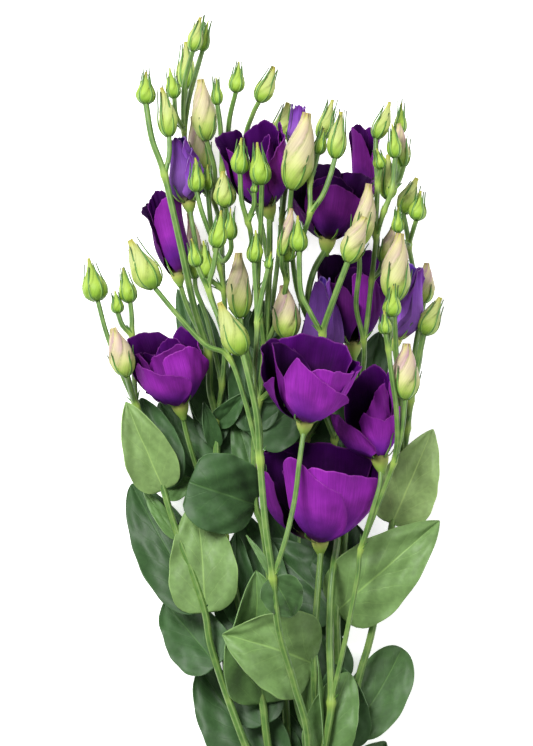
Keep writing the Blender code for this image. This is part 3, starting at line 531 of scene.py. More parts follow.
def leaf_material():
    """Glaucous leaf with pale nerves."""
    made, tree, shader = new_material("waxy_lisianthus_leaf")
    where = add_node(tree, "ShaderNodeTexCoord")
    across, along, face = own_marks(tree)
    tone_and_shade = add_node(tree, "ShaderNodeAttribute", attribute_name="tone_and_shade")
    mottle = add_node(tree, "ShaderNodeTexNoise",
                      {"Vector": where.outputs["Object"], "Scale": 1 / (LEAF_MOTTLE * MM), "Detail": 5.0,
                       "Roughness": 0.62})
    speckle = add_node(tree, "ShaderNodeTexNoise",
                       {"Vector": where.outputs["Object"], "Scale": 1 / (LEAF_SPECKLE * MM), "Detail": 3.0})
    # Nerves leave the midrib one after another and arch towards the tip
    side = add_node(tree, "ShaderNodeMath", {0: across}, operation="ABSOLUTE")
    bent = add_node(tree, "ShaderNodeMath", {0: mottle, 1: 0.12, 2: -0.06}, operation="MULTIPLY_ADD")
    arched = add_node(tree, "ShaderNodeMath", {0: side, 1: 0.6}, operation="POWER")
    ahead = add_node(tree, "ShaderNodeMath", {0: arched, 1: -0.42, 2: along}, operation="MULTIPLY_ADD")
    uneven = add_node(tree, "ShaderNodeMath", {0: ahead, 1: bent}, operation="ADD")
    folded = add_node(tree, "ShaderNodeMath", {0: uneven, 1: 0.085}, operation="PINGPONG")
    nerve = add_node(tree, "ShaderNodeMapRange", {0: folded, 1: 0.0, 2: 0.008, 3: 0.5, 4: 0.0})
    fade = add_node(tree, "ShaderNodeMapRange", {0: side, 1: 0.35, 2: 0.95, 3: 1.0, 4: 0.0})
    faded = add_node(tree, "ShaderNodeMath", {0: nerve, 1: fade}, operation="MULTIPLY")
    midrib = add_node(tree, "ShaderNodeMapRange", {0: side, 1: 0.012, 2: 0.04, 3: 1.0, 4: 0.0})
    veins = add_node(tree, "ShaderNodeMath", {0: faded, 1: midrib}, operation="MAXIMUM")
    # The tone picks the green: partly the leaf's own colour, and at the dark end painted shade for leaves
    # deep in the bunch
    greens = [(0.0, "#1A3018"), (0.3, "#36542E"), (0.55, "#587842"), (0.8, "#7E995C"), (1.0, "#94AA6E")]
    green = add_node(tree, "ShaderNodeValToRGB", {0: tone_and_shade.outputs["Fac"]}, greens)
    patches = add_node(tree, "ShaderNodeMapRange", {0: mottle, 1: 0.3, 2: 0.7, 3: 0.84, 4: 1.16})
    grain = add_node(tree, "ShaderNodeMapRange", {0: speckle, 1: 0.3, 2: 0.7, 3: 0.9, 4: 1.1})
    shade = add_node(tree, "ShaderNodeMath", {0: patches, 1: grain}, operation="MULTIPLY")
    blade = add_node(tree, "ShaderNodeHueSaturation", {"Value": shade, "Color": green})
    pale = add_node(tree, "ShaderNodeHueSaturation",
                    {"Hue": 0.485, "Saturation": 1.05, "Value": 1.8, "Color": green})
    strength = add_node(tree, "ShaderNodeMath", {0: veins, 1: 0.55}, operation="MULTIPLY")
    veined = add_node(tree, "ShaderNodeMix", {0: strength, 6: blade, 7: pale}, data_type="RGBA")
    edge = add_node(tree, "ShaderNodeMapRange", {0: side, 1: 0.97, 2: 1.0, 3: 0.0, 4: 0.45})
    edged = add_node(tree, "ShaderNodeMix", {0: edge, 6: veined, 7: pale}, data_type="RGBA")
    # The underside is milkier
    on_back = add_node(tree, "ShaderNodeMath", {0: face, 1: 0.0}, operation="LESS_THAN")
    milky = add_node(tree, "ShaderNodeMath", {0: on_back, 1: 0.35}, operation="MULTIPLY")
    faced = add_node(tree, "ShaderNodeMix", {0: milky, 6: edged, 7: colour("#8DA584")},
                     data_type="RGBA")
    groove = add_node(tree, "ShaderNodeMath", {0: veins, 1: -0.6, 2: mottle}, operation="MULTIPLY_ADD")
    bump = add_node(tree, "ShaderNodeBump", {"Strength": 0.5, "Distance": 0.0006, "Height": groove})
    feed(tree, shader, {"Base Color": faced, "Roughness": 0.5, "IOR": 1.42,
                        "Specular IOR Level": 0.35, "Normal": bump})
    return made


# Waxed leaf: milky green where it is lit, with no sharp shine
waxy_leaf = leaf_material()
print("leaf:", waxy_leaf.name)

# %% [markdown]
# ## Stalks and buds
#
# A stalk is the same waxy green, with five fine pale ridges along it and a swollen yellow-green joint
# wherever it forks. A bud's skin is its furled petals. They stay lime green while they are small, and
# bleach to cream with a blush along each overlap as the bud swells. The thin calyx lobes on it are
# dark green along their keel, paler at their margins and dry at their tips.

# %% Stalk, bud and calyx materials
# Three blotches in 25 mm of stalk, and eleven clouds in 100 mm of bud
STALK_MOTTLE = 25 / 3
STALK_RIDGES = 5
BUD_CLOUD = 100 / 11
CUP_MARK = 2.0


def stalk_material():
    """Ridged green stalk, paler at its joints."""
    made, tree, shader = new_material("lisianthus_stalk")
    where = add_node(tree, "ShaderNodeTexCoord")
    around = add_node(tree, "ShaderNodeAttribute", attribute_name="around")
    knot = add_node(tree, "ShaderNodeAttribute", attribute_name="knot")
    turns = add_node(tree, "ShaderNodeMath", {0: around.outputs["Fac"], 1: math.tau * STALK_RIDGES},
                     operation="MULTIPLY")
    wave = add_node(tree, "ShaderNodeMath", {0: turns}, operation="COSINE")
    ridge = add_node(tree, "ShaderNodeMapRange", {0: wave, 1: 0.2, 2: 1.0, 3: 0.0, 4: 0.55})
    mottle = add_node(tree, "ShaderNodeTexNoise",
                      {"Vector": where.outputs["Object"], "Scale": 1 / (STALK_MOTTLE * MM), "Detail": 3.0})
    greens = [(0.3, "#40602C"), (0.5, "#527634"), (0.7, "#6C8844")]
    green = add_node(tree, "ShaderNodeValToRGB", {0: mottle}, greens)
    ridged = add_node(tree, "ShaderNodeMix", {0: ridge, 6: green, 7: colour("#86A058")},
                      data_type="RGBA")
    jointed = add_node(tree, "ShaderNodeMix",
                       {0: knot.outputs["Fac"], 6: ridged, 7: colour("#92AC4C")}, data_type="RGBA")
    feed(tree, shader, {"Base Color": jointed, "Roughness": 0.42, "IOR": 1.42})
    return made


def bud_material():
    """Furled petals of a closed bud, from lime green to cream with a blush."""
    made, tree, shader = new_material("lisianthus_bud_skin")
    where = add_node(tree, "ShaderNodeTexCoord")
    fold, along, ripe = own_marks(tree)
    clouds = add_node(tree, "ShaderNodeTexNoise",
                      {"Vector": where.outputs["Object"], "Scale": 1 / (BUD_CLOUD * MM), "Detail": 3.0})
    flat = add_node(tree, "ShaderNodeCombineXYZ", {"X": fold, "Y": along})
    spread = add_node(tree, "ShaderNodeMapping", {"Vector": flat, "Scale": (5, 1.2, 1)})
    fibres = add_node(tree, "ShaderNodeTexNoise", {"Vector": spread, "Scale": 2.0, "Detail": 4.0})
    wander = add_node(tree, "ShaderNodeMath", {0: clouds, 1: 0.3, 2: -0.15}, operation="MULTIPLY_ADD")
    reach = add_node(tree, "ShaderNodeMath", {0: along, 1: wander}, operation="ADD")
    limes = [(0.0, "#5C8E30"), (0.12, "#78A030"), (0.4, "#8EAE38"), (0.8, "#86A636"), (1.0, "#9C9644")]
    young = add_node(tree, "ShaderNodeValToRGB", {0: reach}, limes)
    creams = [(0.0, "#7CA03C"), (0.14, "#94B048"), (0.34, "#B6B876"), (0.6, "#BEB290"),
              (0.84, "#C4B88A"), (0.95, "#B0AE58"), (1.0, "#9C9048")]
    ready = add_node(tree, "ShaderNodeValToRGB", {0: reach}, creams)
    aged = add_node(tree, "ShaderNodeMix", {0: ripe, 6: young, 7: ready}, data_type="RGBA")
    # The blush comes late, high on the bud and near each overlap
    late = add_node(tree, "ShaderNodeMapRange", {0: ripe, 1: 0.6, 2: 1.0, 3: 0.0, 4: 1.6})
    overlap = add_node(tree, "ShaderNodeMapRange", {0: fold, 1: 0.2, 2: 0.9, 3: 0.15, 4: 1.0})
    high = add_node(tree, "ShaderNodeMapRange", {0: along, 1: 0.25, 2: 0.7, 3: 0.05, 4: 1.0})
    both = add_node(tree, "ShaderNodeMath", {0: overlap, 1: high}, operation="MULTIPLY")
    cloudy = add_node(tree, "ShaderNodeMath", {0: both, 1: clouds}, operation="MULTIPLY")
    pink = add_node(tree, "ShaderNodeMath", {0: cloudy, 1: late}, operation="MULTIPLY", use_clamp=True)
    blushed = add_node(tree, "ShaderNodeMix", {0: pink, 6: aged, 7: colour("#A08088")},
                       data_type="RGBA")
    # Painted shade: a darker green line just under each overlapping petal edge, where the edge above shades
    # it
    overlap_shade = add_node(tree, "ShaderNodeMapRange", {0: fold, 1: 0.14, 2: 0.0, 3: 0.0, 4: 0.55})
    overlap_shaded = add_node(tree, "ShaderNodeMix", {0: overlap_shade, 6: blushed, 7: colour("#6E8A3C")},
                      data_type="RGBA")
    streaks = add_node(tree, "ShaderNodeMapRange", {0: fibres, 1: 0.3, 2: 0.7, 3: 0.86, 4: 1.12})
    streaked = add_node(tree, "ShaderNodeHueSaturation", {"Value": streaks, "Color": overlap_shaded})
    bump = add_node(tree, "ShaderNodeBump", {"Strength": 0.3, "Distance": 0.0005, "Height": fibres})
    feed(tree, shader, {"Base Color": streaked, "Roughness": 0.5, "IOR": 1.4,
                        "Specular IOR Level": 0.3, "Normal": bump})
    return made


def calyx_material():
    """Calyx: thin lobes with a dark keel, on a pale cup whose first mark is CUP_MARK."""
    made, tree, shader = new_material("lisianthus_calyx")
    across, along, _ = own_marks(tree)
    side = add_node(tree, "ShaderNodeMath", {0: across}, operation="ABSOLUTE")
    keel = add_node(tree, "ShaderNodeMapRange", {0: side, 1: 0.25, 2: 0.6, 3: 1.0, 4: 0.0})
    late = add_node(tree, "ShaderNodeMapRange", {0: along, 1: 0.35, 2: 0.6, 3: 0.0, 4: 1.0})
    on_lobe = add_node(tree, "ShaderNodeMath", {0: side, 1: CUP_MARK - 0.5}, operation="LESS_THAN")
    thin = add_node(tree, "ShaderNodeMath", {0: late, 1: on_lobe}, operation="MULTIPLY")
    dark = add_node(tree, "ShaderNodeMath", {0: keel, 1: thin}, operation="MAXIMUM")
    pales = [(0.0, "#6C9440"), (0.4, "#8CAA48"), (0.75, "#A0A854"), (1.0, "#6E6A3C")]
    pale = add_node(tree, "ShaderNodeValToRGB", {0: along}, pales)
    body = add_node(tree, "ShaderNodeMix", {0: dark, 6: pale, 7: colour("#47742C")}, data_type="RGBA")
    tip = add_node(tree, "ShaderNodeMapRange", {0: along, 1: 0.75, 2: 1.0, 3: 0.0, 4: 0.8})
    dry = add_node(tree, "ShaderNodeMath", {0: tip, 1: on_lobe}, operation="MULTIPLY")
    tipped = add_node(tree, "ShaderNodeMix", {0: dry, 6: body, 7: colour("#3A3E2A")}, data_type="RGBA")
    feed(tree, shader, {"Base Color": tipped, "Roughness": 0.5, "IOR": 1.4})
    return made


# Stalk: firm green skin under thin wax, with a soft shine along its ridges
green_stalk = stalk_material()
# Bud skin: furled petals, matt and streaked, lime while young and cream with a blush when ripe
bud_skin = bud_material()
# Calyx: leafy and thin, so that its dark keel and dry tip stand out from its pale margins
green_calyx = calyx_material()
print("green parts:", green_stalk.name, bud_skin.name, green_calyx.name)

# %% [markdown]
# ## Gathering many small forms
#
# Hundreds of leaves, petals and calyx lobes would make an unwieldy scene as separate objects. A heap
# collects the points and faces of many forms with their marks, and becomes one mesh at the end. Every
# thin form is a closed plate: a grid of points is pushed out to both sides and its rim is stitched, so
# that both faces, and the edge that catches the light, are real.

# %% A heap of forms, and the closed plate
class Heap:
    """Points, faces, marks and tones of many forms that will share one mesh; for leaves and petals the
    tones carry painted shade.
    """

    def __init__(self):
        self.points, self.faces, self.marks, self.tones_and_shades = [], [], [], []
        self.size = 0

    def add(self, points, faces, marks, tone_and_shade):
        """Adds one form; its faces count from its own first point."""
        self.points.append(points)
        self.faces += [[int(corner) + self.size for corner in face] for face in faces]
        self.marks.append(marks)
        self.tones_and_shades.append(np.full(len(points), tone_and_shade))
        self.size += len(points)

    def piece(self, name, material):
        """The heap as one smooth mesh object."""
        mesh = bpy.data.meshes.new(name)
        mesh.from_pydata(np.concatenate(self.points).tolist(), [], self.faces)
        mesh.shade_smooth()
        mark = mesh.attributes.new("mark", "FLOAT_VECTOR", "POINT")
        mark.data.foreach_set("vector", np.concatenate(self.marks).astype(np.float32).ravel())
        tone_and_shade = mesh.attributes.new("tone_and_shade", "FLOAT", "POINT")
        tone_and_shade.data.foreach_set("value", np.concatenate(self.tones_and_shades).astype(np.float32))
        mesh.materials.append(material)
        made = bpy.data.objects.new(name, mesh)
        bpy.context.scene.collection.objects.link(made)
        return made


def face_count(pieces):
    """How many faces these pieces have together."""
    return sum(len(piece.data.polygons) for piece in pieces)


def add_plate(heap, grid, thickness, across, along, tone_and_shade):
    """Adds a closed plate over a grid of points; its face 1 looks along (across x along)."""
    rows, columns = grid.shape[:2]
    sideways = np.gradient(grid, axis=1)
    lengthways = np.gradient(grid, axis=0)
    normal = np.cross(sideways, lengthways)
    normal /= np.maximum(np.linalg.norm(normal, axis=2, keepdims=True), 1e-12)
    half = np.broadcast_to(thickness, (rows, columns))[..., None] * (MM / 2)
    points = np.concatenate([(grid + normal * half).reshape(-1, 3),
                             (grid - normal * half).reshape(-1, 3)])
    index = np.arange(rows * columns).reshape(rows, columns)
    other = index + rows * columns
    a, b, c, d = index[:-1, :-1], index[:-1, 1:], index[1:, 1:], index[1:, :-1]
    faces = np.stack([a, b, c, d], axis=-1).reshape(-1, 4)
    faces = np.concatenate([faces, faces[:, ::-1] + rows * columns])
    rim = np.concatenate([index[0, :-1], index[:-1, -1], index[-1, :0:-1], index[:0:-1, 0]])
    after = np.roll(rim, -1)
    hidden = other.ravel()
    faces = np.concatenate([faces, np.stack([after, rim, hidden[rim], hidden[after]], axis=-1)])
    flat = [np.broadcast_to(value, (rows, columns)).ravel() for value in (across, along)]
    marks = [np.stack([*flat, np.full(rows * columns, face)], axis=-1) for face in (1.0, -1.0)]
    heap.add(points, faces, np.concatenate(marks), tone_and_shade)


# %% [markdown]
# ## Routes
#
# A stalk bends smoothly through the places in the plan. A Catmull-Rom curve passes through every one
# of them, which makes a plan easy to read: each place in the table is a point on the stalk.

# %% Smooth routes through the plan
def smooth_route(points, spacing):
    """Points on one smooth curve through the given ones, no further apart than spacing."""
    ends = [2 * points[0] - points[1], *points, 2 * points[-1] - points[-2]]
    route = [points[0].copy()]
    for before, start, end, after in zip(ends, ends[1:], ends[2:], ends[3:]):
        count = max(1, math.ceil((end - start).length / spacing))
        for step in range(1, count + 1):
            s = step / count
            curve = start * (2 - 5 * s**2 + 3 * s**3) + end * (s + 4 * s**2 - 3 * s**3)
            curve += before * (2 * s**2 - s - s**3) + after * (s**3 - s**2)
            route.append(curve / 2)
    return route

# %% [markdown]
# ## Stalks that fork
#
# Every stalk is one path from the cut end to what it carries, and side stalks leave from the nearest
# point of a stalk that is already there. A line of edges carries a radius at each point and a mark
# where a joint swells. Geometry Nodes then sweep a round profile along all the lines of a stem at
# once, so one set of inputs rules how fine the sweep is.

# %% Routes of all the stalks
ROUTE_STEP = 3
MIDDLE_RISE = 1.4


def bundle_seat(seat):
    """Where a stem passes through the band: at an angle on the bundle's ring, or in its middle."""
    if seat is None:
        return BAND_CENTRE[0], band_outer + MIDDLE_RISE
    angle = math.radians(seat)
    return BAND_CENTRE[0] + BUNDLE_RADIUS * math.cos(angle), band_outer + BUNDLE_RADIUS * math.sin(angle)


def nearest(point, routes):
    """The point on these routes that is closest to a given one."""
    return min((other for route in routes for other in route), key=lambda o: (o - point).length)


def stem_routes(name):
    """The routes of one stem with what each carries: the main stalk first, then its side stalks."""
    seat, (points, head), sides, _ = STEMS[name]
    x, z = bundle_seat(seat)
    foot = BAND_CENTRE[1] - FOOT_LENGTH - random.Random(name).uniform(0, FOOT_SPREAD)
    grip = [(x, BAND_CENTRE[1] + side * GRIP_LENGTH / 2, z) for side in (-1, 1)]
    main = smooth_route([place(point) for point in [(x, foot, z), *grip, *points]],
                        ROUTE_STEP * MM)
    routes = [(main, head, MAIN_RADII)]
    for points, head in sides:
        start = nearest(place(points[0]), [route for route, *_ in routes])
        route = smooth_route([start, *(place(point) for point in points[1:])], ROUTE_STEP * MM)
        routes.append((route, head, STALK_RADII))
    return routes


ROUTES = {name: stem_routes(name) for name in STEMS}
print("stalks:", sum(len(routes) for routes in ROUTES.values()))


# %% The sweep, as Geometry Nodes
def sweep_tree():
    """Sweeps a circle along lines of edges whose points carry a radius."""
    tree = bpy.data.node_groups.new("stalk_sweep", "GeometryNodeTree")
    face = tree.interface
    face.new_socket("Geometry", in_out="INPUT", socket_type="NodeSocketGeometry")
    sides = face.new_socket("Sides round the stalk", in_out="INPUT", socket_type="NodeSocketInt")
    skin = face.new_socket("Skin", in_out="INPUT", socket_type="NodeSocketMaterial")
    face.new_socket("Geometry", in_out="OUTPUT", socket_type="NodeSocketGeometry")
    entry = add_node(tree, "NodeGroupInput")
    lines = add_node(tree, "GeometryNodeMeshToCurve", {"Mesh": entry.outputs[0]})
    girth = add_node(tree, "GeometryNodeInputNamedAttribute", {"Name": "girth"}, data_type="FLOAT")
    circle = add_node(tree, "GeometryNodeCurvePrimitiveCircle",
                      {"Radius": 1.0, "Resolution": entry.outputs[1]})
    turn = add_node(tree, "GeometryNodeSplineParameter")
    profile = add_node(tree, "GeometryNodeStoreNamedAttribute",
                       {"Name": "around", "Geometry": circle, "Value": turn.outputs["Factor"]},
                       data_type="FLOAT", domain="POINT")
    tubes = add_node(tree, "GeometryNodeCurveToMesh",
                     {"Curve": lines, "Profile Curve": profile,
                      "Scale": girth.outputs["Attribute"], "Fill Caps": True})
    real = add_node(tree, "GeometryNodeRealizeInstances", {"Geometry": tubes})
    dressed = add_node(tree, "GeometryNodeSetMaterial",
                       {"Geometry": real, "Material": entry.outputs[2]})
    add_node(tree, "NodeGroupOutput", {0: dressed})
    return tree, {"sides": sides.identifier, "skin": skin.identifier}


SWEEP, SWEEP_INPUTS = sweep_tree()


def swept(name, lines, sides, skin):
    """One mesh object swept along lines of (point, girth, knot), with the modifier applied."""
    mesh = bpy.data.meshes.new(name)
    points, edges = [], []
    for line in lines:
        first = len(points)
        points += line
        edges += [(first + step, first + step + 1) for step in range(len(line) - 1)]
    mesh.from_pydata([point for point, _, _ in points], edges, [])
    for label, column in (("girth", 1), ("knot", 2)):
        layer = mesh.attributes.new(label, "FLOAT", "POINT")
        layer.data.foreach_set("value", [point[column] for point in points])
    made = bpy.data.objects.new(name, mesh)
    bpy.context.scene.collection.objects.link(made)
    modifier = made.modifiers.new("Sweep", "NODES")
    modifier.node_group = SWEEP
    modifier[SWEEP_INPUTS["sides"]] = sides
    modifier[SWEEP_INPUTS["skin"]] = skin
    made.data = bpy.data.meshes.new_from_object(
        made.evaluated_get(bpy.context.evaluated_depsgraph_get()))
    made.modifiers.remove(modifier)
    made.data.shade_smooth()
    return made


# %% Radii, swollen joints and the cut ends
TUBE_SIDES = 10
JOINT_REACH = 7
JOINT_SWELL = 0.35
JOINT_PALENESS = 0.8


def stalk_line(route, radii, starts):
    """A stalk as (point, girth, knot): it tapers, and swells where another one starts from it."""
    line = []
    last = len(route) - 1
    for step, point in enumerate(route):
        girth = radii[0] + (radii[1] - radii[0]) * step / last
        gap = min(((point - start).length for start in starts), default=1) / MM
        knot = max(0, 1 - gap / JOINT_REACH)
        line.append((point, girth * (1 + JOINT_SWELL * knot**2) * MM, knot * JOINT_PALENESS))
    return line


stalk_pieces = {}
for name, routes in ROUTES.items():
    forks = [route[0] for route, *_ in routes[1:]]
    lines = [stalk_line(route, radii, forks) for route, _, radii in routes]
    stalk_pieces[name] = swept(name.replace("stem", "stalks"), lines, TUBE_SIDES, green_stalk)
print("stalk faces:", face_count(stalk_pieces.values()))

# %% [markdown]
# ## Leaves
#
# A lisianthus leaf is a clasping, pointed oval. Its blade arches along the midrib, which lies in a
# shallow crease, and its edges wave a little because they grow faster than the middle. Each leaf is
# one closed plate computed from those few rules, with a width, roll, arch and cup from the plan, and
# small differences drawn from a fixed seed.

# %% One leaf
LEAF_THICKNESS = 0.7
LEAF_ROWS = 30
LEAF_COLUMNS = 21
LEAF_SHOULDER = 0.33
LEAF_FOOT = 0.004
LEAF_NARROWEST = 0.5
LEAF_CREASE = 0.03
EDGE_WAVE = 0.04
EDGE_NOTCH = 0.012
# Slow waves over the blade: size as a share of its width, and how often across and along
LEAF_WAVES = ((0.024, 0.7, 0.9), (0.016, -1.2, 1.8), (0.009, 1.9, 2.9))
EDGE_STEP = 0.012


def steps(count, low, high):
    """Evenly spaced values with one narrow step at each end, for a crisp edge."""
    inset = EDGE_STEP * (high - low)
    return np.unique(np.concatenate([np.linspace(low, high, count), [low + inset, high - inset]]))


def vector_grid(base, *terms):
    """base plus the sum of direction x size, as a grid of points; sizes are grids."""
    return np.array(base) + sum(np.multiply.outer(size, np.array(way)) for way, size in terms)


def add_leaf(heap, base, tip, width, roll, arch, cup, tone_and_shade, taper, draw):
    """A leaf that arches along its midrib, and whose edges stand cup higher; a low taper is blunt."""
    along = place(tip) - base
    turn = Matrix.Rotation(math.radians(roll), 3, along.normalized())
    side = turn @ along.cross(Vector((0, 0, 1))).normalized()
    above = side.cross(along).normalized()
    v, u = np.meshgrid(steps(LEAF_ROWS, 0, 1), steps(LEAF_COLUMNS, -1, 1), indexing="ij")
    widest = LEAF_SHOULDER / (LEAF_SHOULDER + taper)
    fullest = (1 - widest) ** taper * widest**LEAF_SHOULDER
    half = width / 2 * (1 - v) ** taper * (v + LEAF_FOOT) ** LEAF_SHOULDER / fullest
    half = np.maximum(half, LEAF_NARROWEST)
    bow = np.maximum(np.sin(np.pi * v), 0)
    soft = np.sqrt(bow)
    lift = arch * bow + cup * np.abs(u) ** 1.5 * soft
    lift += LEAF_CREASE * width * np.minimum(np.abs(u) * 4, 1) * soft
    for edge in (-1, 1):
        phase, waves = draw.uniform(0, math.tau), draw.uniform(1.2, 2.6)
        near = np.clip(edge * u, 0, 1) ** 2
        lift += near * bow * EDGE_WAVE * width * np.sin(math.tau * waves * v + phase)
        half = half * (1 + near * EDGE_NOTCH * np.sin(math.tau * 2.3 * waves * v + phase))
    for size, fu, fv in LEAF_WAVES:
        lift += size * width * soft * np.sin(math.tau * (fu * u + fv * v + draw.random()))
    lift -= 0.05 * along.length / MM * draw.uniform(0, 1.2) * np.clip(4 * v - 3, 0, 1) ** 2
    sway = u * half + draw.uniform(-0.04, 0.04) * along.length / MM * bow
    grid = vector_grid(base, (along, v), (side * MM, sway), (above * MM, lift))
    grid[..., 2] = np.maximum(grid[..., 2], SHIFT.z + LEAF_THICKNESS * MM / 2)
    add_plate(heap, grid, LEAF_THICKNESS, u, v, tone_and_shade)


leaf_pieces = {}
for name, (_, _, _, leaves) in STEMS.items():
    draw = random.Random(name)
    heap = Heap()
    hidden = [(base, tip, width, 0, 0, 2, tone_and_shade, 0.75)
              for owner, base, tip, width, tone_and_shade in BACK_LEAVES if owner == name]
    for base, *shape in leaves + hidden:
        foot = nearest(place(base), [route for route, *_ in ROUTES[name]])
        add_leaf(heap, foot, *shape, draw)
    leaf_pieces[name] = heap.piece(name.replace("stem", "leaves"), waxy_leaf)
print("leaf faces:", face_count(leaf_pieces.values()))

# %% [markdown]
# ## Buds
#
# In a closed bud the five petals wind round each other like an umbrella that is rolled up. So a bud is
# a round body whose radius steps up at five spiral lines, where one petal's edge lies over the next.
# Young buds are onion-shaped with a thin beak, and ripe ones taper to a blunt, frilled tip. Five
# separate petals could be wound instead, but only their overlaps show, and this needs fewer faces.

# %% One bud with its five winding folds
RIPENESS = {"green": 0.1, "lime": 0.45, "cream": 0.85, "blush": 1.0}
YOUNG_BUD = (0.3, 0.84, 0.98, 1, 0.9, 0.73, 0.52, 0.35, 0.21, 0.13, 0.06)
RIPE_BUD = (0.28, 0.7, 0.9, 1, 0.99, 0.93, 0.83, 0.69, 0.52, 0.35, 0.22)
BUD_COLUMNS = 40
BUD_ROWS = 30
BUD_FOLDS = 5
BUD_WIND = 0.42
FOLD_DEPTH = 0.15
FRILL_START = 0.9
FRILL_SIZE = 3.5
FRILL_TEETH = 7


def smooth_between(values, u):
    """Smooth heights from values that are evenly spread over u from -1 to 1."""
    spots = (u + 1) / 2 * (len(values) - 1)
    low = np.clip(np.floor(spots).astype(int), 0, len(values) - 2)
    ends = np.array([2 * values[0] - values[1], *values, 2 * values[-1] - values[-2]])
    before, start, end, after = ends[low], ends[low + 1], ends[low + 2], ends[low + 3]
    s = spots - low
    curve = 2 * start + (end - before) * s + (2 * before - 5 * start + 4 * end - after) * s**2
    return (curve + (3 * start - before - 3 * end + after) * s**3) / 2


def bud_radius(t, ripe):
    """Radius of a bud as a share of its widest, at a share t of its length."""
    young, full = (smooth_between(shape, 2 * t - 1) for shape in (YOUNG_BUD, RIPE_BUD))
    return young + (full - young) * min(1, ripe * 1.3)


def axis_frame(axis):
    """Two directions square to an axis: the first one faces up as far as it can."""
    front = Vector((0, 0, 1)) - axis * axis.z
    if front.length < 0.05:
        front = Vector((0, -1, 0))
    front.normalize()
    return front, axis.cross(front)


def add_turned(heap, base, tip, radius, bend, marks, draw):
    """A closed body round an axis, from rows of radii in mm; bend leans each row sideways."""
    axis = (tip - base).normalized()
    front, across = axis_frame(axis)
    rows, columns = radius.shape
    t = np.linspace(0, 1, rows)[:, None] * np.ones(columns)
    angle = np.arange(columns) / columns * math.tau * np.ones((rows, 1))
    grid = vector_grid(base, (axis * (tip - base).length, t), (front * MM, radius * np.cos(angle)),
                       (across * MM, radius * np.sin(angle) + bend))
    top = grid[-1].mean(axis=0)
    points = np.concatenate([[np.array(base)], grid.reshape(-1, 3), [top]])
    points[:, 2] = np.maximum(points[:, 2], SHIFT.z)
    index = 1 + np.arange(rows * columns).reshape(rows, columns)
    after = np.roll(index, -1, axis=1)
    faces = np.stack([index[:-1], after[:-1], after[1:], index[1:]], axis=-1).reshape(-1, 4).tolist()
    faces += [[0, b, a] for a, b in zip(index[0], after[0])]
    faces += [[len(points) - 1, a, b] for a, b in zip(index[-1], after[-1])]
    flat = marks.reshape(-1, 3)
    heap.add(points, faces, np.concatenate([flat[:1], flat, flat[-1:]]), draw.random())


def add_bud(heap, base, tip, width, ripe, draw):
    """A closed bud from its stalk to its tip; its mark is (fold, share of length, ripeness)."""
    t, turn = np.meshgrid(np.linspace(0, 1, BUD_ROWS), np.arange(BUD_COLUMNS) / BUD_COLUMNS,
                          indexing="ij")
    fold = BUD_FOLDS * (turn - BUD_WIND * t + draw.random()) % 1
    deep = FOLD_DEPTH * np.clip(t * 3, 0, 1)
    frill = 1 + FRILL_SIZE * np.clip(t - FRILL_START, 0, 1) * np.sin(FRILL_TEETH * math.tau * turn)
    radius = width / 2 * bud_radius(t, ripe) * (1 + deep * (fold - 0.5)) * frill
    lean = draw.uniform(-0.04, 0.04) * (tip - base).length / MM * np.sin(np.pi * t)
    marks = np.stack([fold, t, np.full(t.shape, ripe)], axis=-1)
    add_turned(heap, base, tip, radius, lean, marks, draw)


# %% [markdown]
# ## Calyx lobes
#
# Five narrow lobes rise from below each bud and each flower. They hug a small bud and overtop it with
# hair-fine tips, and stand a little away from a big one. Each is a narrow closed plate with a keel.
# Under an open flower they leave a pale, swollen cup, and two more stand at each fork as bracts.

# %% One ring of calyx lobes, and the cup under a flower
LOBE_THICKNESS = 0.45
LOBE_ROWS = 14
LOBE_ACROSS = (-1, -0.45, 0, 0.45, 1)
LOBE_KEEL = 0.4


def add_lobes(heap, base, tip, radius_at, shape, draw, count=5):
    """Keeled lobes round an axis from base to tip; radius_at gives what they hug, in mm.

    shape is their reach along the axis, width, the share of them that hugs, closing and flare.
    """
    reach, width, rest, closing, flare = shape
    axis = (tip - base).normalized()
    front, across = axis_frame(axis)
    length = (tip - base).length / MM
    v, u = np.meshgrid(np.linspace(0, 1, LOBE_ROWS), LOBE_ACROSS, indexing="ij")
    for number in range(count):
        share = reach * draw.uniform(0.85, 1.12)
        heading = math.tau * (number + draw.uniform(-0.12, 0.12)) / count + 0.6
        half = width / 2 * (1 - v) ** 0.9 * np.minimum(0.5 + 4 * v, 1) + 0.2
        t = v * share
        free = np.clip((v - rest) / (1 - rest), 0, 1)
        out = radius_at(np.minimum(t, rest * share)) * (1 - closing * free)
        out += 0.1 + LOBE_KEEL * (1 - np.abs(u)) + flare * draw.uniform(0.3, 1.4) * free**1.5
        sway = draw.uniform(-0.5, 0.5) * free**2 * flare
        angle = heading + draw.uniform(-0.1, 0.2) * v
        x = out * np.cos(angle) - (u * half + sway) * np.sin(angle)
        y = out * np.sin(angle) + (u * half + sway) * np.cos(angle)
        grid = vector_grid(base, (axis * MM, t * length), (front * MM, x), (across * MM, y))
        grid[..., 2] = np.maximum(grid[..., 2], SHIFT.z + 0.3 * MM)
        add_plate(heap, grid, LOBE_THICKNESS, u, v, draw.random())


CALYX_CUP = (1.7, 2.3, 3.2, 4.2, 4.9, 5.4, 5.7, 5.8)
CALYX_NECK = 1.7
CALYX_BELOW = 5
CALYX_ABOVE = 8
CALYX_ROWS = 14
CALYX_COLUMNS = 30


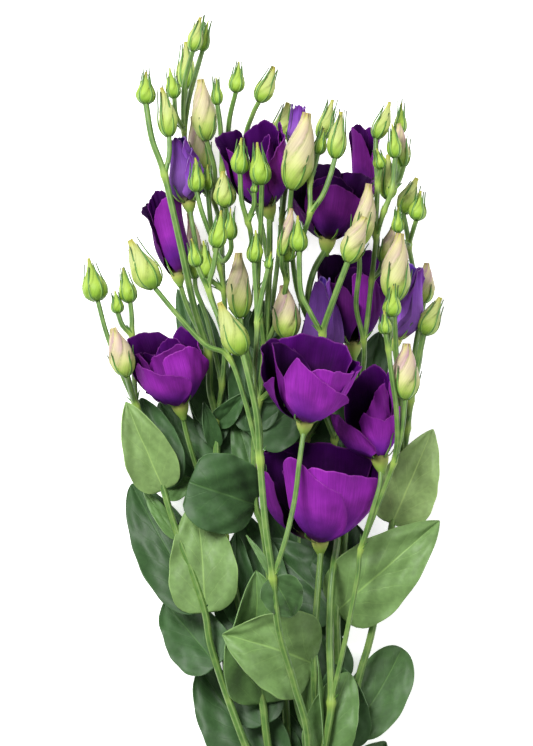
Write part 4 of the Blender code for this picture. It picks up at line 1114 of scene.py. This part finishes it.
def add_cup(heap, base, axis, size, draw):
    """The swollen green cup that holds a flower's petals together; size scales its radii."""
    t, turn = np.meshgrid(np.linspace(0, 1, CALYX_ROWS), np.arange(CALYX_COLUMNS) / CALYX_COLUMNS,
                          indexing="ij")
    radius = smooth_between(CALYX_CUP, 2 * t - 1) * (1 + 0.06 * np.cos(5 * math.tau * turn) * t)
    radius = CALYX_NECK + (radius - CALYX_NECK) * size
    marks = np.stack([np.full(t.shape, CUP_MARK), t, t], axis=-1)
    low, high = base - axis * CALYX_BELOW * MM * size, base + axis * CALYX_ABOVE * MM * size
    add_turned(heap, low, high, radius, np.zeros((CALYX_ROWS, 1)), marks, draw)


# %% Every bud with its lobes, and the bracts
BRACT_LENGTH = 8
# Lobes as (reach, width, share that hugs, closing, flare); the reach is drawn for each bud
RIPE_LOBES = (2.2, 0.6, 0.05, 1.4)
YOUNG_LOBES = (1.9, 0.55, 0.62, 1.3)
BRACTS = (1, 1.8, 0.1, 0, 2.6)


def dress_bud(buds, lobes, base, head, draw):
    """A bud with its five lobes, which are long and close over the tip while it is young."""
    _, tip, width, stage = head
    tip, ripe = place(tip), RIPENESS[stage]
    add_bud(buds, base, tip, width, ripe, draw)
    shape = (draw.uniform(0.42, 0.62), *RIPE_LOBES)
    if ripe < 0.5:
        shape = (draw.uniform(0.8, 1.04), *YOUNG_LOBES)
    add_lobes(lobes, base, tip, lambda t: width / 2 * bud_radius(t, ripe), shape, draw)


def add_bracts(lobes, route, radius, draw):
    """Two bracts where a side stalk leaves the stalk it grows from."""
    way = (route[min(4, len(route) - 1)] - route[0]).normalized()
    add_lobes(lobes, route[0], route[0] + way * BRACT_LENGTH * MM,
              lambda t: np.full(t.shape, radius * 0.8), BRACTS, draw, 2)


bud_pieces, lobe_heaps = {}, {}
for name, routes in ROUTES.items():
    draw = random.Random(name + " buds")
    buds, lobes = Heap(), Heap()
    for route, head, radii in routes:
        if head[0] == "bud":
            dress_bud(buds, lobes, route[-1], head, draw)
        if radii is STALK_RADII:
            add_bracts(lobes, route, radii[0], draw)
    if buds.size:
        bud_pieces[name] = buds.piece(name.replace("stem", "buds"), bud_skin)
    lobe_heaps[name] = lobes
print("bud faces:", face_count(bud_pieces.values()))

# %% [markdown]
# ## Flowers
#
# A lisianthus flower is a cup of broad petals, each with one edge under its neighbour. A petal rises
# close to the others, swells out, and its lip rolls over. The roll is made by turning the sheet's
# direction further outwards as the lip nears, and adding up the short lengths along it. That way a
# lip can curl right over without being stretched. Slow waves over the whole sheet, and short ones
# near its lip, give the crumpled look of tissue that has only just unfurled.

# %% The cup and one petal
PETAL_THICKNESS = 0.45
PETAL_ROWS = 36
PETAL_COLUMNS = 33
# The cup: where it is full, how much later when open, how it swells, its foot and its flaring lip
CUP_FULL = 0.42
CUP_GAIN = 0.3
CUP_SWELL = 0.72
CUP_FOOT = 3
CUP_UPRIGHT = 0.62
LIP_LENGTH = 0.12
# Uneven lips: waves across and their size. Then slow waves of the sheet, as for a leaf
TOP_WAVES = ((5, 0.012), (14, 0.007), (33, 0.004))
SHEET_WAVES = ((0.04, 0.5, 0.8), (0.032, 1.0, -0.6), (0.018, 1.9, 1.3))
RISE_POWER = 1.1
# The lip curls from here on, a rolled edge starts here, and the claw at the foot is this narrow
LIP_START = 0.7
ROLL_START = 0.72
CLAW_SPREAD = 0.35


def cup_radius(v, radius, opening):
    """Radius of the outer petals at a share v of the flower's length, in mm."""
    full = CUP_FULL + CUP_GAIN * max(opening, 0)
    swell = np.sin(np.pi / 2 * np.clip(v / full, 0, 1)) ** CUP_SWELL
    flare = (opening - CUP_UPRIGHT) * np.maximum(v - full + LIP_LENGTH, 0)
    return CUP_FOOT + (radius - CUP_FOOT) * (swell + flare)


def add_petal(heap, base, mouth, radius, opening, petal, tone_and_shade, draw):
    """One petal: heading and half angle in degrees, scale, heights across it, lip, lift and roll."""
    heading, half, scale, tops, lip, lift, roll = petal
    axis = (mouth - base).normalized()
    front, across = axis_frame(axis)
    height = (mouth - base).length / MM
    v, u = np.meshgrid(steps(PETAL_ROWS, 0, 1), steps(PETAL_COLUMNS, -1, 1), indexing="ij")
    straight = np.interp((u + 1) / 2 * (len(tops) - 1), range(len(tops)), tops)
    top = (0.55 * straight + 0.45 * smooth_between(tops, u)) * (1 - 0.08 * np.abs(u) ** 8)
    for waves, size in TOP_WAVES:
        top += size * np.sin(waves * u + draw.uniform(0, math.tau))
    share = v * np.maximum(top, 0.05) ** (1 / RISE_POWER)
    rise = height * share**RISE_POWER
    out = cup_radius(share, radius, opening) * scale + lift * np.clip(v * 3, 0, 1)
    length = np.hypot(np.diff(out, axis=0), np.diff(rise, axis=0))
    way = np.arctan2(np.diff(out, axis=0), np.diff(rise, axis=0))
    middle = (v[1:] + v[:-1]) / 2
    late = np.clip((middle - LIP_START) / (1 - LIP_START), 0, 1) ** 1.7
    wave = sum(draw.uniform(0.08, 0.25) / k * np.sin(k * math.pi * u[1:] + draw.uniform(0, math.tau))
               for k in (1, 2, 3, 5, 8))
    way = way + late * (lip + wave)
    still = np.zeros((1, u.shape[1]))
    rise = np.concatenate([still, np.cumsum(np.cos(way) * length, axis=0)])
    out = out[0] + np.concatenate([still, np.cumsum(np.sin(way) * length, axis=0)])
    opened = np.clip((v - 0.05) / 0.5, 0, 1) ** 0.7
    spread = math.radians(half) * (CLAW_SPREAD + (1 - CLAW_SPREAD) * opened)
    angle = math.radians(heading) + u * spread
    rolled = np.clip((np.sign(roll) * u - ROLL_START) / (1 - ROLL_START), 0, 1) ** 2
    out += u * np.maximum(0.4, 0.08 * out) * v + abs(roll) * rolled * np.clip(v * 2.5, 0, 1)
    for size, fu, fv in SHEET_WAVES:
        swing = draw.uniform(0.7, 1.3)
        out += size * radius * v * np.sin(math.tau * (fu * swing * u + fv * v + draw.random()))
    out += 0.16 * v**3 * np.sin(19 * u + 3 * v + draw.uniform(0, math.tau))
    angle -= np.sign(roll) * rolled * abs(roll) / 40
    out = np.maximum(out, 0.8)
    grid = vector_grid(base, (axis * MM, rise), (front * MM, out * np.cos(angle)),
                       (across * MM, out * np.sin(angle)))
    grid[..., 2] = np.maximum(grid[..., 2], SHIFT.z + PETAL_THICKNESS * MM / 2)
    add_plate(heap, grid, PETAL_THICKNESS, u, v, tone_and_shade)


# %% Each flower's petals: heading, half angle, scale, heights across, lip, lift, roll
PETALS = {
    "bloom_centre": [
        (-115, 44, 1.0, (0.9, 0.97, 1.0, 1.0, 0.96, 0.88, 0.75), 0.3, 0, 0),
        (172, 62, 0.97, (0.94, 0.98, 1.01, 1.03, 1.02, 1.0, 0.97), 0.15, 0, 0),
        (94, 44, 0.95, (0.7, 0.82, 0.87, 0.88, 0.88, 0.86, 0.8), 0.5, 0, 0),
        (-100, 85, 0.72, (0.62, 0.84, 1.0, 1.07, 0.95, 0.66, 0.33), 0.1, 0, 2.5),
        (42, 44, 0.86, (0.98, 0.99, 0.97, 0.95, 0.93, 0.9, 0.8), 0.1, 0, 0),
        (-74, 29, 1.0, (0.22, 0.28, 0.36, 0.46, 0.58, 0.7, 0.84), 0.1, 0.5, 0),
        (17, 52, 0.94, (0.9, 1.18, 0.98, 0.83, 0.72, 0.6, 0.44), 0.2, 0.8, 0),
    ],
    "bloom_low": [
        (180, 62, 1.0, (0.95, 1.0, 1.03, 1.04, 1.04, 1.03, 1.0), 0.1, 0, 0),
        (118, 48, 1.04, (0.8, 0.84, 0.88, 0.93, 0.96, 0.98, 0.95), 0.35, 0, 0),
        (-100, 56, 1.02, (1.0, 1.02, 1.02, 1.0, 0.98, 0.98, 0.98), -0.1, 0, 0),
        (40, 55, 1.06, (1.18, 1.13, 1.05, 0.98, 0.92, 0.78, 0.5), -0.1, -1, 0),
        (-2, 32, 0.98, (1.26, 1.3, 1.14, 1.0, 0.9, 0.78, 0.5), -0.1, 3, 1),
        (-60, 60, 0.6, (0.8, 0.9, 0.95, 0.95, 0.9, 0.85, 0.8), 0.0, 0, 0),
    ],
    "bloom_right": [
        (-170, 75, 0.85, (0.95, 1.05, 1.08, 1.0, 0.92, 0.83, 0.72), 0.1, 0, 0),
        (100, 40, 0.75, (0.6, 0.75, 0.88, 0.95, 0.98, 0.95, 0.9), 0.0, 0, 0),
        (20, 45, 0.6, (0.55, 0.62, 0.7, 0.76, 0.82, 0.88, 0.78), 0.0, 0, 0),
        (20, 62, 0.82, (0.5, 0.56, 0.48, 0.43, 0.48, 0.57, 0.6), 0.25, 0.5, 0),
        (-66, 62, 1.02, (0.42, 0.54, 0.6, 0.58, 0.5, 0.36, 0.16), 0.1, 6.5, 1.5),
    ],
    "bloom_left": [
        (-135, 55, 1.0, (1.0, 1.1, 1.15, 1.15, 1.12, 1.08, 0.95), 0.3, 0, 0),
        (122, 45, 0.95, (0.7, 0.85, 0.95, 1.0, 1.05, 1.1, 1.0), 0.2, 0, 0),
        (170, 40, 0.6, (0.9, 0.95, 1.0, 1.0, 0.95, 0.9, 0.85), 0.1, 0, 0),
        (-110, 60, 0.72, (0.75, 0.8, 0.86, 0.9, 0.96, 1.0, 0.9), 0.1, 0, 0),
        (-20, 75, 0.6, (0.75, 0.8, 0.88, 0.95, 1.0, 1.02, 0.95), 0.2, 0, 0),
        (40, 50, 0.97, (0.9, 0.95, 0.96, 0.95, 0.88, 0.72, 0.5), 0.1, 0, 0),
        (-25, 53, 1.02, (0.8, 0.87, 0.8, 0.72, 0.65, 0.58, 0.46), 0.15, 1, 1.5),
        (-80, 32, 0.9, (0.2, 0.3, 0.36, 0.38, 0.36, 0.3, 0.2), 0.9, 1, 0),
    ],
    "bloom_upper": [
        (-110, 56, 1.0, (0.97, 0.99, 1.0, 0.98, 0.9, 0.84, 0.76), 0.3, 0, 1),
        (140, 50, 0.97, (0.86, 0.92, 0.98, 1.0, 0.98, 0.95, 0.9), 0.1, 0, 0),
        (100, 60, 0.62, (0.72, 0.78, 0.84, 0.86, 0.84, 0.8, 0.75), 0, 0, 1),
        (-22, 50, 0.95, (0.92, 0.9, 0.84, 0.76, 0.68, 0.6, 0.5), 0.2, 0, 0),
        (64, 52, 1.03, (0.58, 0.66, 0.74, 0.82, 0.9, 0.97, 1.0), 0.3, 0, 0),
    ],
    "bloom_mid": [
        (-140, 52, 1.0, (1.02, 1.06, 1.07, 1.05, 1.0, 0.92, 0.8), 0.1, 0, 0),
        (135, 52, 0.98, (0.85, 0.92, 0.95, 0.97, 0.98, 0.96, 0.92), 0.35, 0, 0),
        (180, 75, 0.6, (0.7, 0.8, 0.88, 0.9, 0.88, 0.8, 0.7), 0, 0, 0),
        (8, 58, 0.95, (0.66, 0.76, 0.82, 0.8, 0.72, 0.66, 0.58), 0.1, 0, 0),
        (82, 44, 1.0, (0.5, 0.6, 0.7, 0.78, 0.82, 0.84, 0.8), 0.2, 0, 0),
        (-78, 44, 1.04, (0.85, 0.76, 0.66, 0.6, 0.54, 0.46, 0.36), 0.3, 0, 0),
    ],
    "bloom_deep": [
        (-120, 55, 1.0, (0.98, 1.04, 1.06, 1.05, 0.98, 0.88, 0.75), 0.1, 0, 0),
        (135, 52, 0.97, (0.8, 0.9, 1.0, 1.06, 1.09, 1.08, 1.0), 0.15, 0, 0),
        (180, 75, 0.6, (0.7, 0.8, 0.88, 0.9, 0.88, 0.8, 0.7), 0, 0, 0),
        (50, 52, 0.96, (0.92, 0.9, 0.84, 0.76, 0.7, 0.66, 0.6), 0.1, 0, 0),
        (-45, 54, 1.0, (0.66, 0.72, 0.76, 0.78, 0.76, 0.68, 0.56), 0.1, 0, 1),
    ],
    "bloom_rolled_left": [
        (-160, 70, 0.9, (0.95, 1.0, 1.03, 1.03, 1.0, 0.96, 0.9), 0.2, 0, 0),
        (110, 70, 0.95, (0.9, 0.95, 1.0, 1.02, 1.0, 0.95, 0.9), 0.2, 0, 0),
        (28, 82, 1.02, (0.72, 0.84, 0.93, 0.98, 1.0, 1.0, 0.9), 0.15, 0, 1),
        (-92, 56, 1.08, (0.9, 0.93, 0.92, 0.88, 0.8, 0.7, 0.5), 0.9, 0, 1.5),
    ],
    "bloom_top_right": [
        (-150, 60, 0.95, (0.95, 1.0, 1.03, 1.04, 1.02, 0.98, 0.9), 0.1, 0, 0),
        (110, 60, 1.0, (0.8, 0.85, 0.88, 0.9, 0.95, 1.0, 0.98), 0.2, 0, 0),
        (-30, 60, 1.0, (0.95, 1.0, 1.0, 0.96, 0.9, 0.76, 0.6), 0, 0, 2),
        (75, 46, 1.06, (0.5, 0.7, 0.84, 0.88, 0.84, 0.78, 0.66), 0.3, 0, 1.5),
    ],
    "bloom_violet_left": [
        (180, 80, 0.8, (0.9, 0.97, 1.0, 1.02, 1.0, 0.96, 0.9), 0, 0, 0),
        (85, 78, 0.94, (0.85, 0.94, 1.0, 1.0, 0.96, 0.9, 0.8), 0, 0, 1),
        (-45, 88, 1.0, (0.75, 0.86, 0.95, 1.0, 1.0, 0.92, 0.74), 0.1, 0, 2.5),
        (38, 54, 1.08, (0.3, 0.46, 0.6, 0.72, 0.8, 0.82, 0.7), 0.1, 0, 1.5),
    ],
    "bloom_violet_mid": [
        (180, 80, 0.8, (0.9, 0.97, 1.0, 1.02, 1.0, 0.96, 0.9), 0, 0, 0),
        (85, 78, 0.95, (0.85, 0.93, 1.0, 1.0, 0.97, 0.9, 0.8), 0, 0, 1),
        (-45, 88, 1.0, (0.7, 0.86, 0.96, 1.0, 1.0, 0.93, 0.7), 0, 0, 2),
        (45, 54, 1.06, (0.25, 0.42, 0.58, 0.7, 0.78, 0.8, 0.72), 0.1, 0, 1.5),
    ],
    "bloom_violet_right": [
        (180, 80, 0.8, (0.9, 0.97, 1.0, 1.02, 1.0, 0.96, 0.9), 0.3, 0, 0),
        (100, 78, 0.95, (0.85, 0.94, 1.0, 1.0, 0.98, 0.9, 0.8), 0.2, 0, 1),
        (-55, 88, 1.0, (0.6, 0.7, 0.8, 0.88, 0.92, 0.9, 0.7), 0, 0, 2),
        (35, 66, 1.08, (0.28, 0.44, 0.6, 0.78, 0.92, 1.0, 0.95), 0.1, 0, 1.5),
    ],
}


GOLDEN_ANGLE = 137.5


def spiral_petals(draw, opening, count, inner_count):
    """Petals in a loose spiral, for the flowers that show less of themselves."""
    petals = []
    for number in range(count):
        inner = number >= count - inner_count
        lean = draw.uniform(-0.06, 0.06)
        high = draw.uniform(0.9, 1.0)
        tops = [high * (1 + lean * k - 0.012 * abs(k) ** 2.2) for k in (-3, -2, -1, 0, 1, 2, 3)]
        petals.append((GOLDEN_ANGLE * number + draw.uniform(-12, 12), draw.uniform(46, 56),
                       draw.uniform(0.55, 0.7) if inner else 1 - 0.02 * number, tops,
                       draw.uniform(0.0, 0.5) * opening, 0, draw.uniform(-1, 1)))
    return petals


# %% All the flowers
# How light each flower is, where it isn't middling: painted shade, darkest for flowers deep in the bunch
FLOWER_PAINTED_SHADE = {"bloom_mid": 0.06, "bloom_deep": 0.16, "bloom_top_right": 0.35,
                "bloom_rolled_left": 0.3, "bloom_upper": 0.4, "bloom_right": 0.48,
                "bloom_violet_mid": 0.3, "bloom_violet_left": 0.42, "bloom_violet_right": 0.45}
MIDDLING_TONE = 0.48
TONE_SPREAD = 0.06
PAINTED_LIT_SIDE = 0.16
PAINTED_SHADED_SIDE = 0.28
PETAL_FOOT = 6
FULL_CUP_RADIUS = 20
SMALLEST_CUP = 0.75
SMALL_FLOWER = 15


def dress_flower(bloom, foot, lobes):
    """A flower's petals as one piece; its lobes and its cup join its stem's."""
    mouth, radius, opening = BLOOMS[bloom]
    mouth = place(mouth)
    axis = (mouth - foot).normalized()
    cup_size = max(SMALLEST_CUP, min(1, radius / FULL_CUP_RADIUS))
    base = foot + axis * PETAL_FOOT * MM * cup_size
    draw = random.Random(bloom)
    # Drawn for every flower, though only the smallest uses it, because later draws depend on it
    loose = spiral_petals(draw, opening, *((5, 1) if radius <= SMALL_FLOWER else (8, 3)))
    heap = Heap()
    for petal in PETALS.get(bloom, loose):
        facing = math.sin(math.radians(petal[0]))
        tone_and_shade = FLOWER_PAINTED_SHADE.get(bloom, MIDDLING_TONE) + draw.uniform(-TONE_SPREAD, TONE_SPREAD)
        # Painted light and shade: petals facing one side are lightened and those facing the other darkened,
        # as if lit from that side
        tone_and_shade += facing * (PAINTED_LIT_SIDE if facing > 0 else PAINTED_SHADED_SIDE)
        add_petal(heap, base, mouth, radius, opening, petal, tone_and_shade, draw)
    shape = (draw.uniform(0.24, 0.34), 1.1, 0.5, 0, 2.5)
    add_lobes(lobes, base, mouth, lambda t: cup_radius(t, radius, opening) + 1.5, shape, draw)
    add_cup(lobes, foot, axis, cup_size, draw)
    tissue = violet_petal if "violet" in bloom else purple_petal
    return heap.piece(bloom.replace("bloom", "petals"), tissue)


flower_pieces = {}
for name, routes in ROUTES.items():
    for route, head, _ in routes:
        if head[0] == "bloom":
            flower_pieces[head[1]] = dress_flower(head[1], route[-1], lobe_heaps[name])
lobe_pieces = {name: heap.piece(name.replace("stem", "lobes"), green_calyx)
               for name, heap in lobe_heaps.items()}
print("petal faces:", face_count(flower_pieces.values()))
print("calyx faces:", face_count(lobe_pieces.values()))

# %% [markdown]
# ## The band
#
# A florist's rubber band is a flat strip of natural latex, a little dusty. It could be a ring primitive
# that is flattened, but here a rounded strip profile is turned round the bundle, which keeps its inner
# face tight on the stems.

# %% The rubber band
# Three patches of dust in 10 mm, coarser than real dust so that they show
DUST = 10 / 3
BAND_CORNERS = 20
BAND_STEPS = 96


def rubber_material():
    """Natural latex: amber brown, dull, with a faint dusting."""
    made, tree, shader = new_material("natural_rubber_band")
    where = add_node(tree, "ShaderNodeTexCoord")
    dust = add_node(tree, "ShaderNodeTexNoise",
                    {"Vector": where.outputs["Object"], "Scale": 1 / (DUST * MM), "Detail": 4.0})
    tint = add_node(tree, "ShaderNodeValToRGB", {0: dust},
                    [(0.35, "#B08A54"), (0.6, "#C8A46C"), (0.8, "#D8BE90")])
    bump = add_node(tree, "ShaderNodeBump", {"Strength": 0.3, "Distance": 0.0002, "Height": dust})
    feed(tree, shader, {"Base Color": tint, "Roughness": 0.6, "IOR": 1.52, "Normal": bump})
    return made


def make_band(material):
    """A smooth ring with rounded edges, in the place of the faceted one."""
    inner, outer = band_inner * MM, band_outer * MM
    points, faces = [], []
    for step in range(BAND_STEPS):
        turn = math.tau * step / BAND_STEPS
        for corner in range(BAND_CORNERS):
            angle = math.tau * corner / BAND_CORNERS
            x, y = math.cos(angle), math.sin(angle)
            radius = (inner + outer) / 2 + (outer - inner) / 2 * np.sign(y) * abs(y) ** 0.5
            along = BAND_WIDTH / 2 * MM * np.sign(x) * abs(x) ** 0.35
            points.append(np.array(band_middle)
                          + [radius * math.cos(turn), along, radius * math.sin(turn)])
            after, ahead = (corner + 1) % BAND_CORNERS, (step + 1) % BAND_STEPS * BAND_CORNERS
            faces.append((step * BAND_CORNERS + corner, step * BAND_CORNERS + after,
                          ahead + after, ahead + corner))
    mesh = bpy.data.meshes.new("band_strip")
    mesh.from_pydata(points, [], faces)
    mesh.shade_smooth()
    mesh.materials.append(material)
    made = bpy.data.objects.new("band_strip", mesh)
    bpy.context.scene.collection.objects.link(made)
    return made


# Natural rubber: dull amber under a little dust, so that it hardly shines
band_piece = make_band(rubber_material())
print("band faces:", face_count([band_piece]))

# %% [markdown]
# ## Standing in for the solids
#
# Each fine piece rides on the bunch's one body and replaces the plain solid that it was made for. A
# stem is replaced by stalks, leaves, calyces and, where it has them, buds.

# %% Each piece takes the place of its solid
for name in STEMS:
    for pieces in (stalk_pieces, leaf_pieces, bud_pieces, lobe_pieces):
        if name in pieces:
            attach(pieces[name], "root")
            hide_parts(name)
for bloom, made in flower_pieces.items():
    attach(made, "root")
    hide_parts(bloom)
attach(band_piece, "root")
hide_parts("rubber_band")

# %% [markdown]
# ## Table, light and camera
#
# The bunch lies on a white table and the camera looks straight down on it from three metres, with a
# long lens, so nothing leans. The light is broad and soft, because velvet and wax both show best
# without hard shadows.

# %% Table, light and camera
TABLE_HALF = 4
TABLE_GRAIN = 2.5
WORLD_STRENGTH = 0.26
CAMERA_HEIGHT = 3050
CAMERA_LENS = 222.7


def white_acrylic():
    """Opal acrylic, lit evenly from below as a light table is, so that only faint shadows show."""
    made, tree, shader = new_material("opal_acrylic_light_table")
    where = add_node(tree, "ShaderNodeTexCoord")
    grain = add_node(tree, "ShaderNodeTexNoise",
                     {"Vector": where.outputs["Object"], "Scale": 1 / (TABLE_GRAIN * MM)})
    tint = add_node(tree, "ShaderNodeValToRGB", {0: grain}, [(0.3, "#FBFBFB"), (0.7, "#FFFFFF")])
    feed(tree, shader, {"Base Color": tint, "Roughness": 0.9, "Emission Color": colour("#FFFFFF"),
                        "Emission Strength": 0.6})
    return made


floor_mesh = bpy.data.meshes.new("table_top")
corners = [(x * TABLE_HALF, y * TABLE_HALF, 0) for x, y in ((-1, -1), (1, -1), (1, 1), (-1, 1))]
floor_mesh.from_pydata(corners, [], [(0, 1, 2, 3)])
# Opal acrylic: a milky sheet with no shine, whose own glow keeps it white and its shadows faint
floor_mesh.materials.append(white_acrylic())
table_top = bpy.data.objects.new("table_top", floor_mesh)
bpy.context.scene.collection.objects.link(table_top)
table_top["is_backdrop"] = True

world = bpy.data.worlds.new("studio")
bpy.context.scene.world = world
world.use_nodes = True
feed(world.node_tree, world.node_tree.nodes["Background"],
     {"Color": colour("#FFFFFF"), "Strength": WORLD_STRENGTH})


def soft_light(name, at, aim, size, power):
    """A square soft box at a place, aimed at another; size in metres and power in watts."""
    lamp = bpy.data.lights.new(name, "AREA")
    lamp.size, lamp.energy = size, power
    made = bpy.data.objects.new(name, lamp)
    made.location = at
    made.rotation_euler = (Vector(aim) - Vector(at)).to_track_quat("-Z", "Y").to_euler()
    bpy.context.scene.collection.objects.link(made)


soft_light("upper_left_softbox", (-1.0, 1.1, 2.0), (0, 0, 0), 0.9, 92)
soft_light("right_softbox", (1.3, 0.2, 1.6), (0, 0, 0), 0.7, 14)

camera = bpy.data.cameras.new("overhead_camera")
camera.lens = CAMERA_LENS
overhead = bpy.data.objects.new("overhead_camera", camera)
overhead.location = place((0, 0, CAMERA_HEIGHT))
bpy.context.scene.collection.objects.link(overhead)
bpy.context.scene.camera = overhead
bpy.context.scene.view_settings.view_transform = "Standard"
print("camera at", [round(value, 3) for value in overhead.location])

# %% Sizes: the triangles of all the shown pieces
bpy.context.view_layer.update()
triangles = 0
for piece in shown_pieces():
    if piece.type == "MESH":
        piece.data.calc_loop_triangles()
        triangles += len(piece.data.loop_triangles)
print("triangles:", triangles)
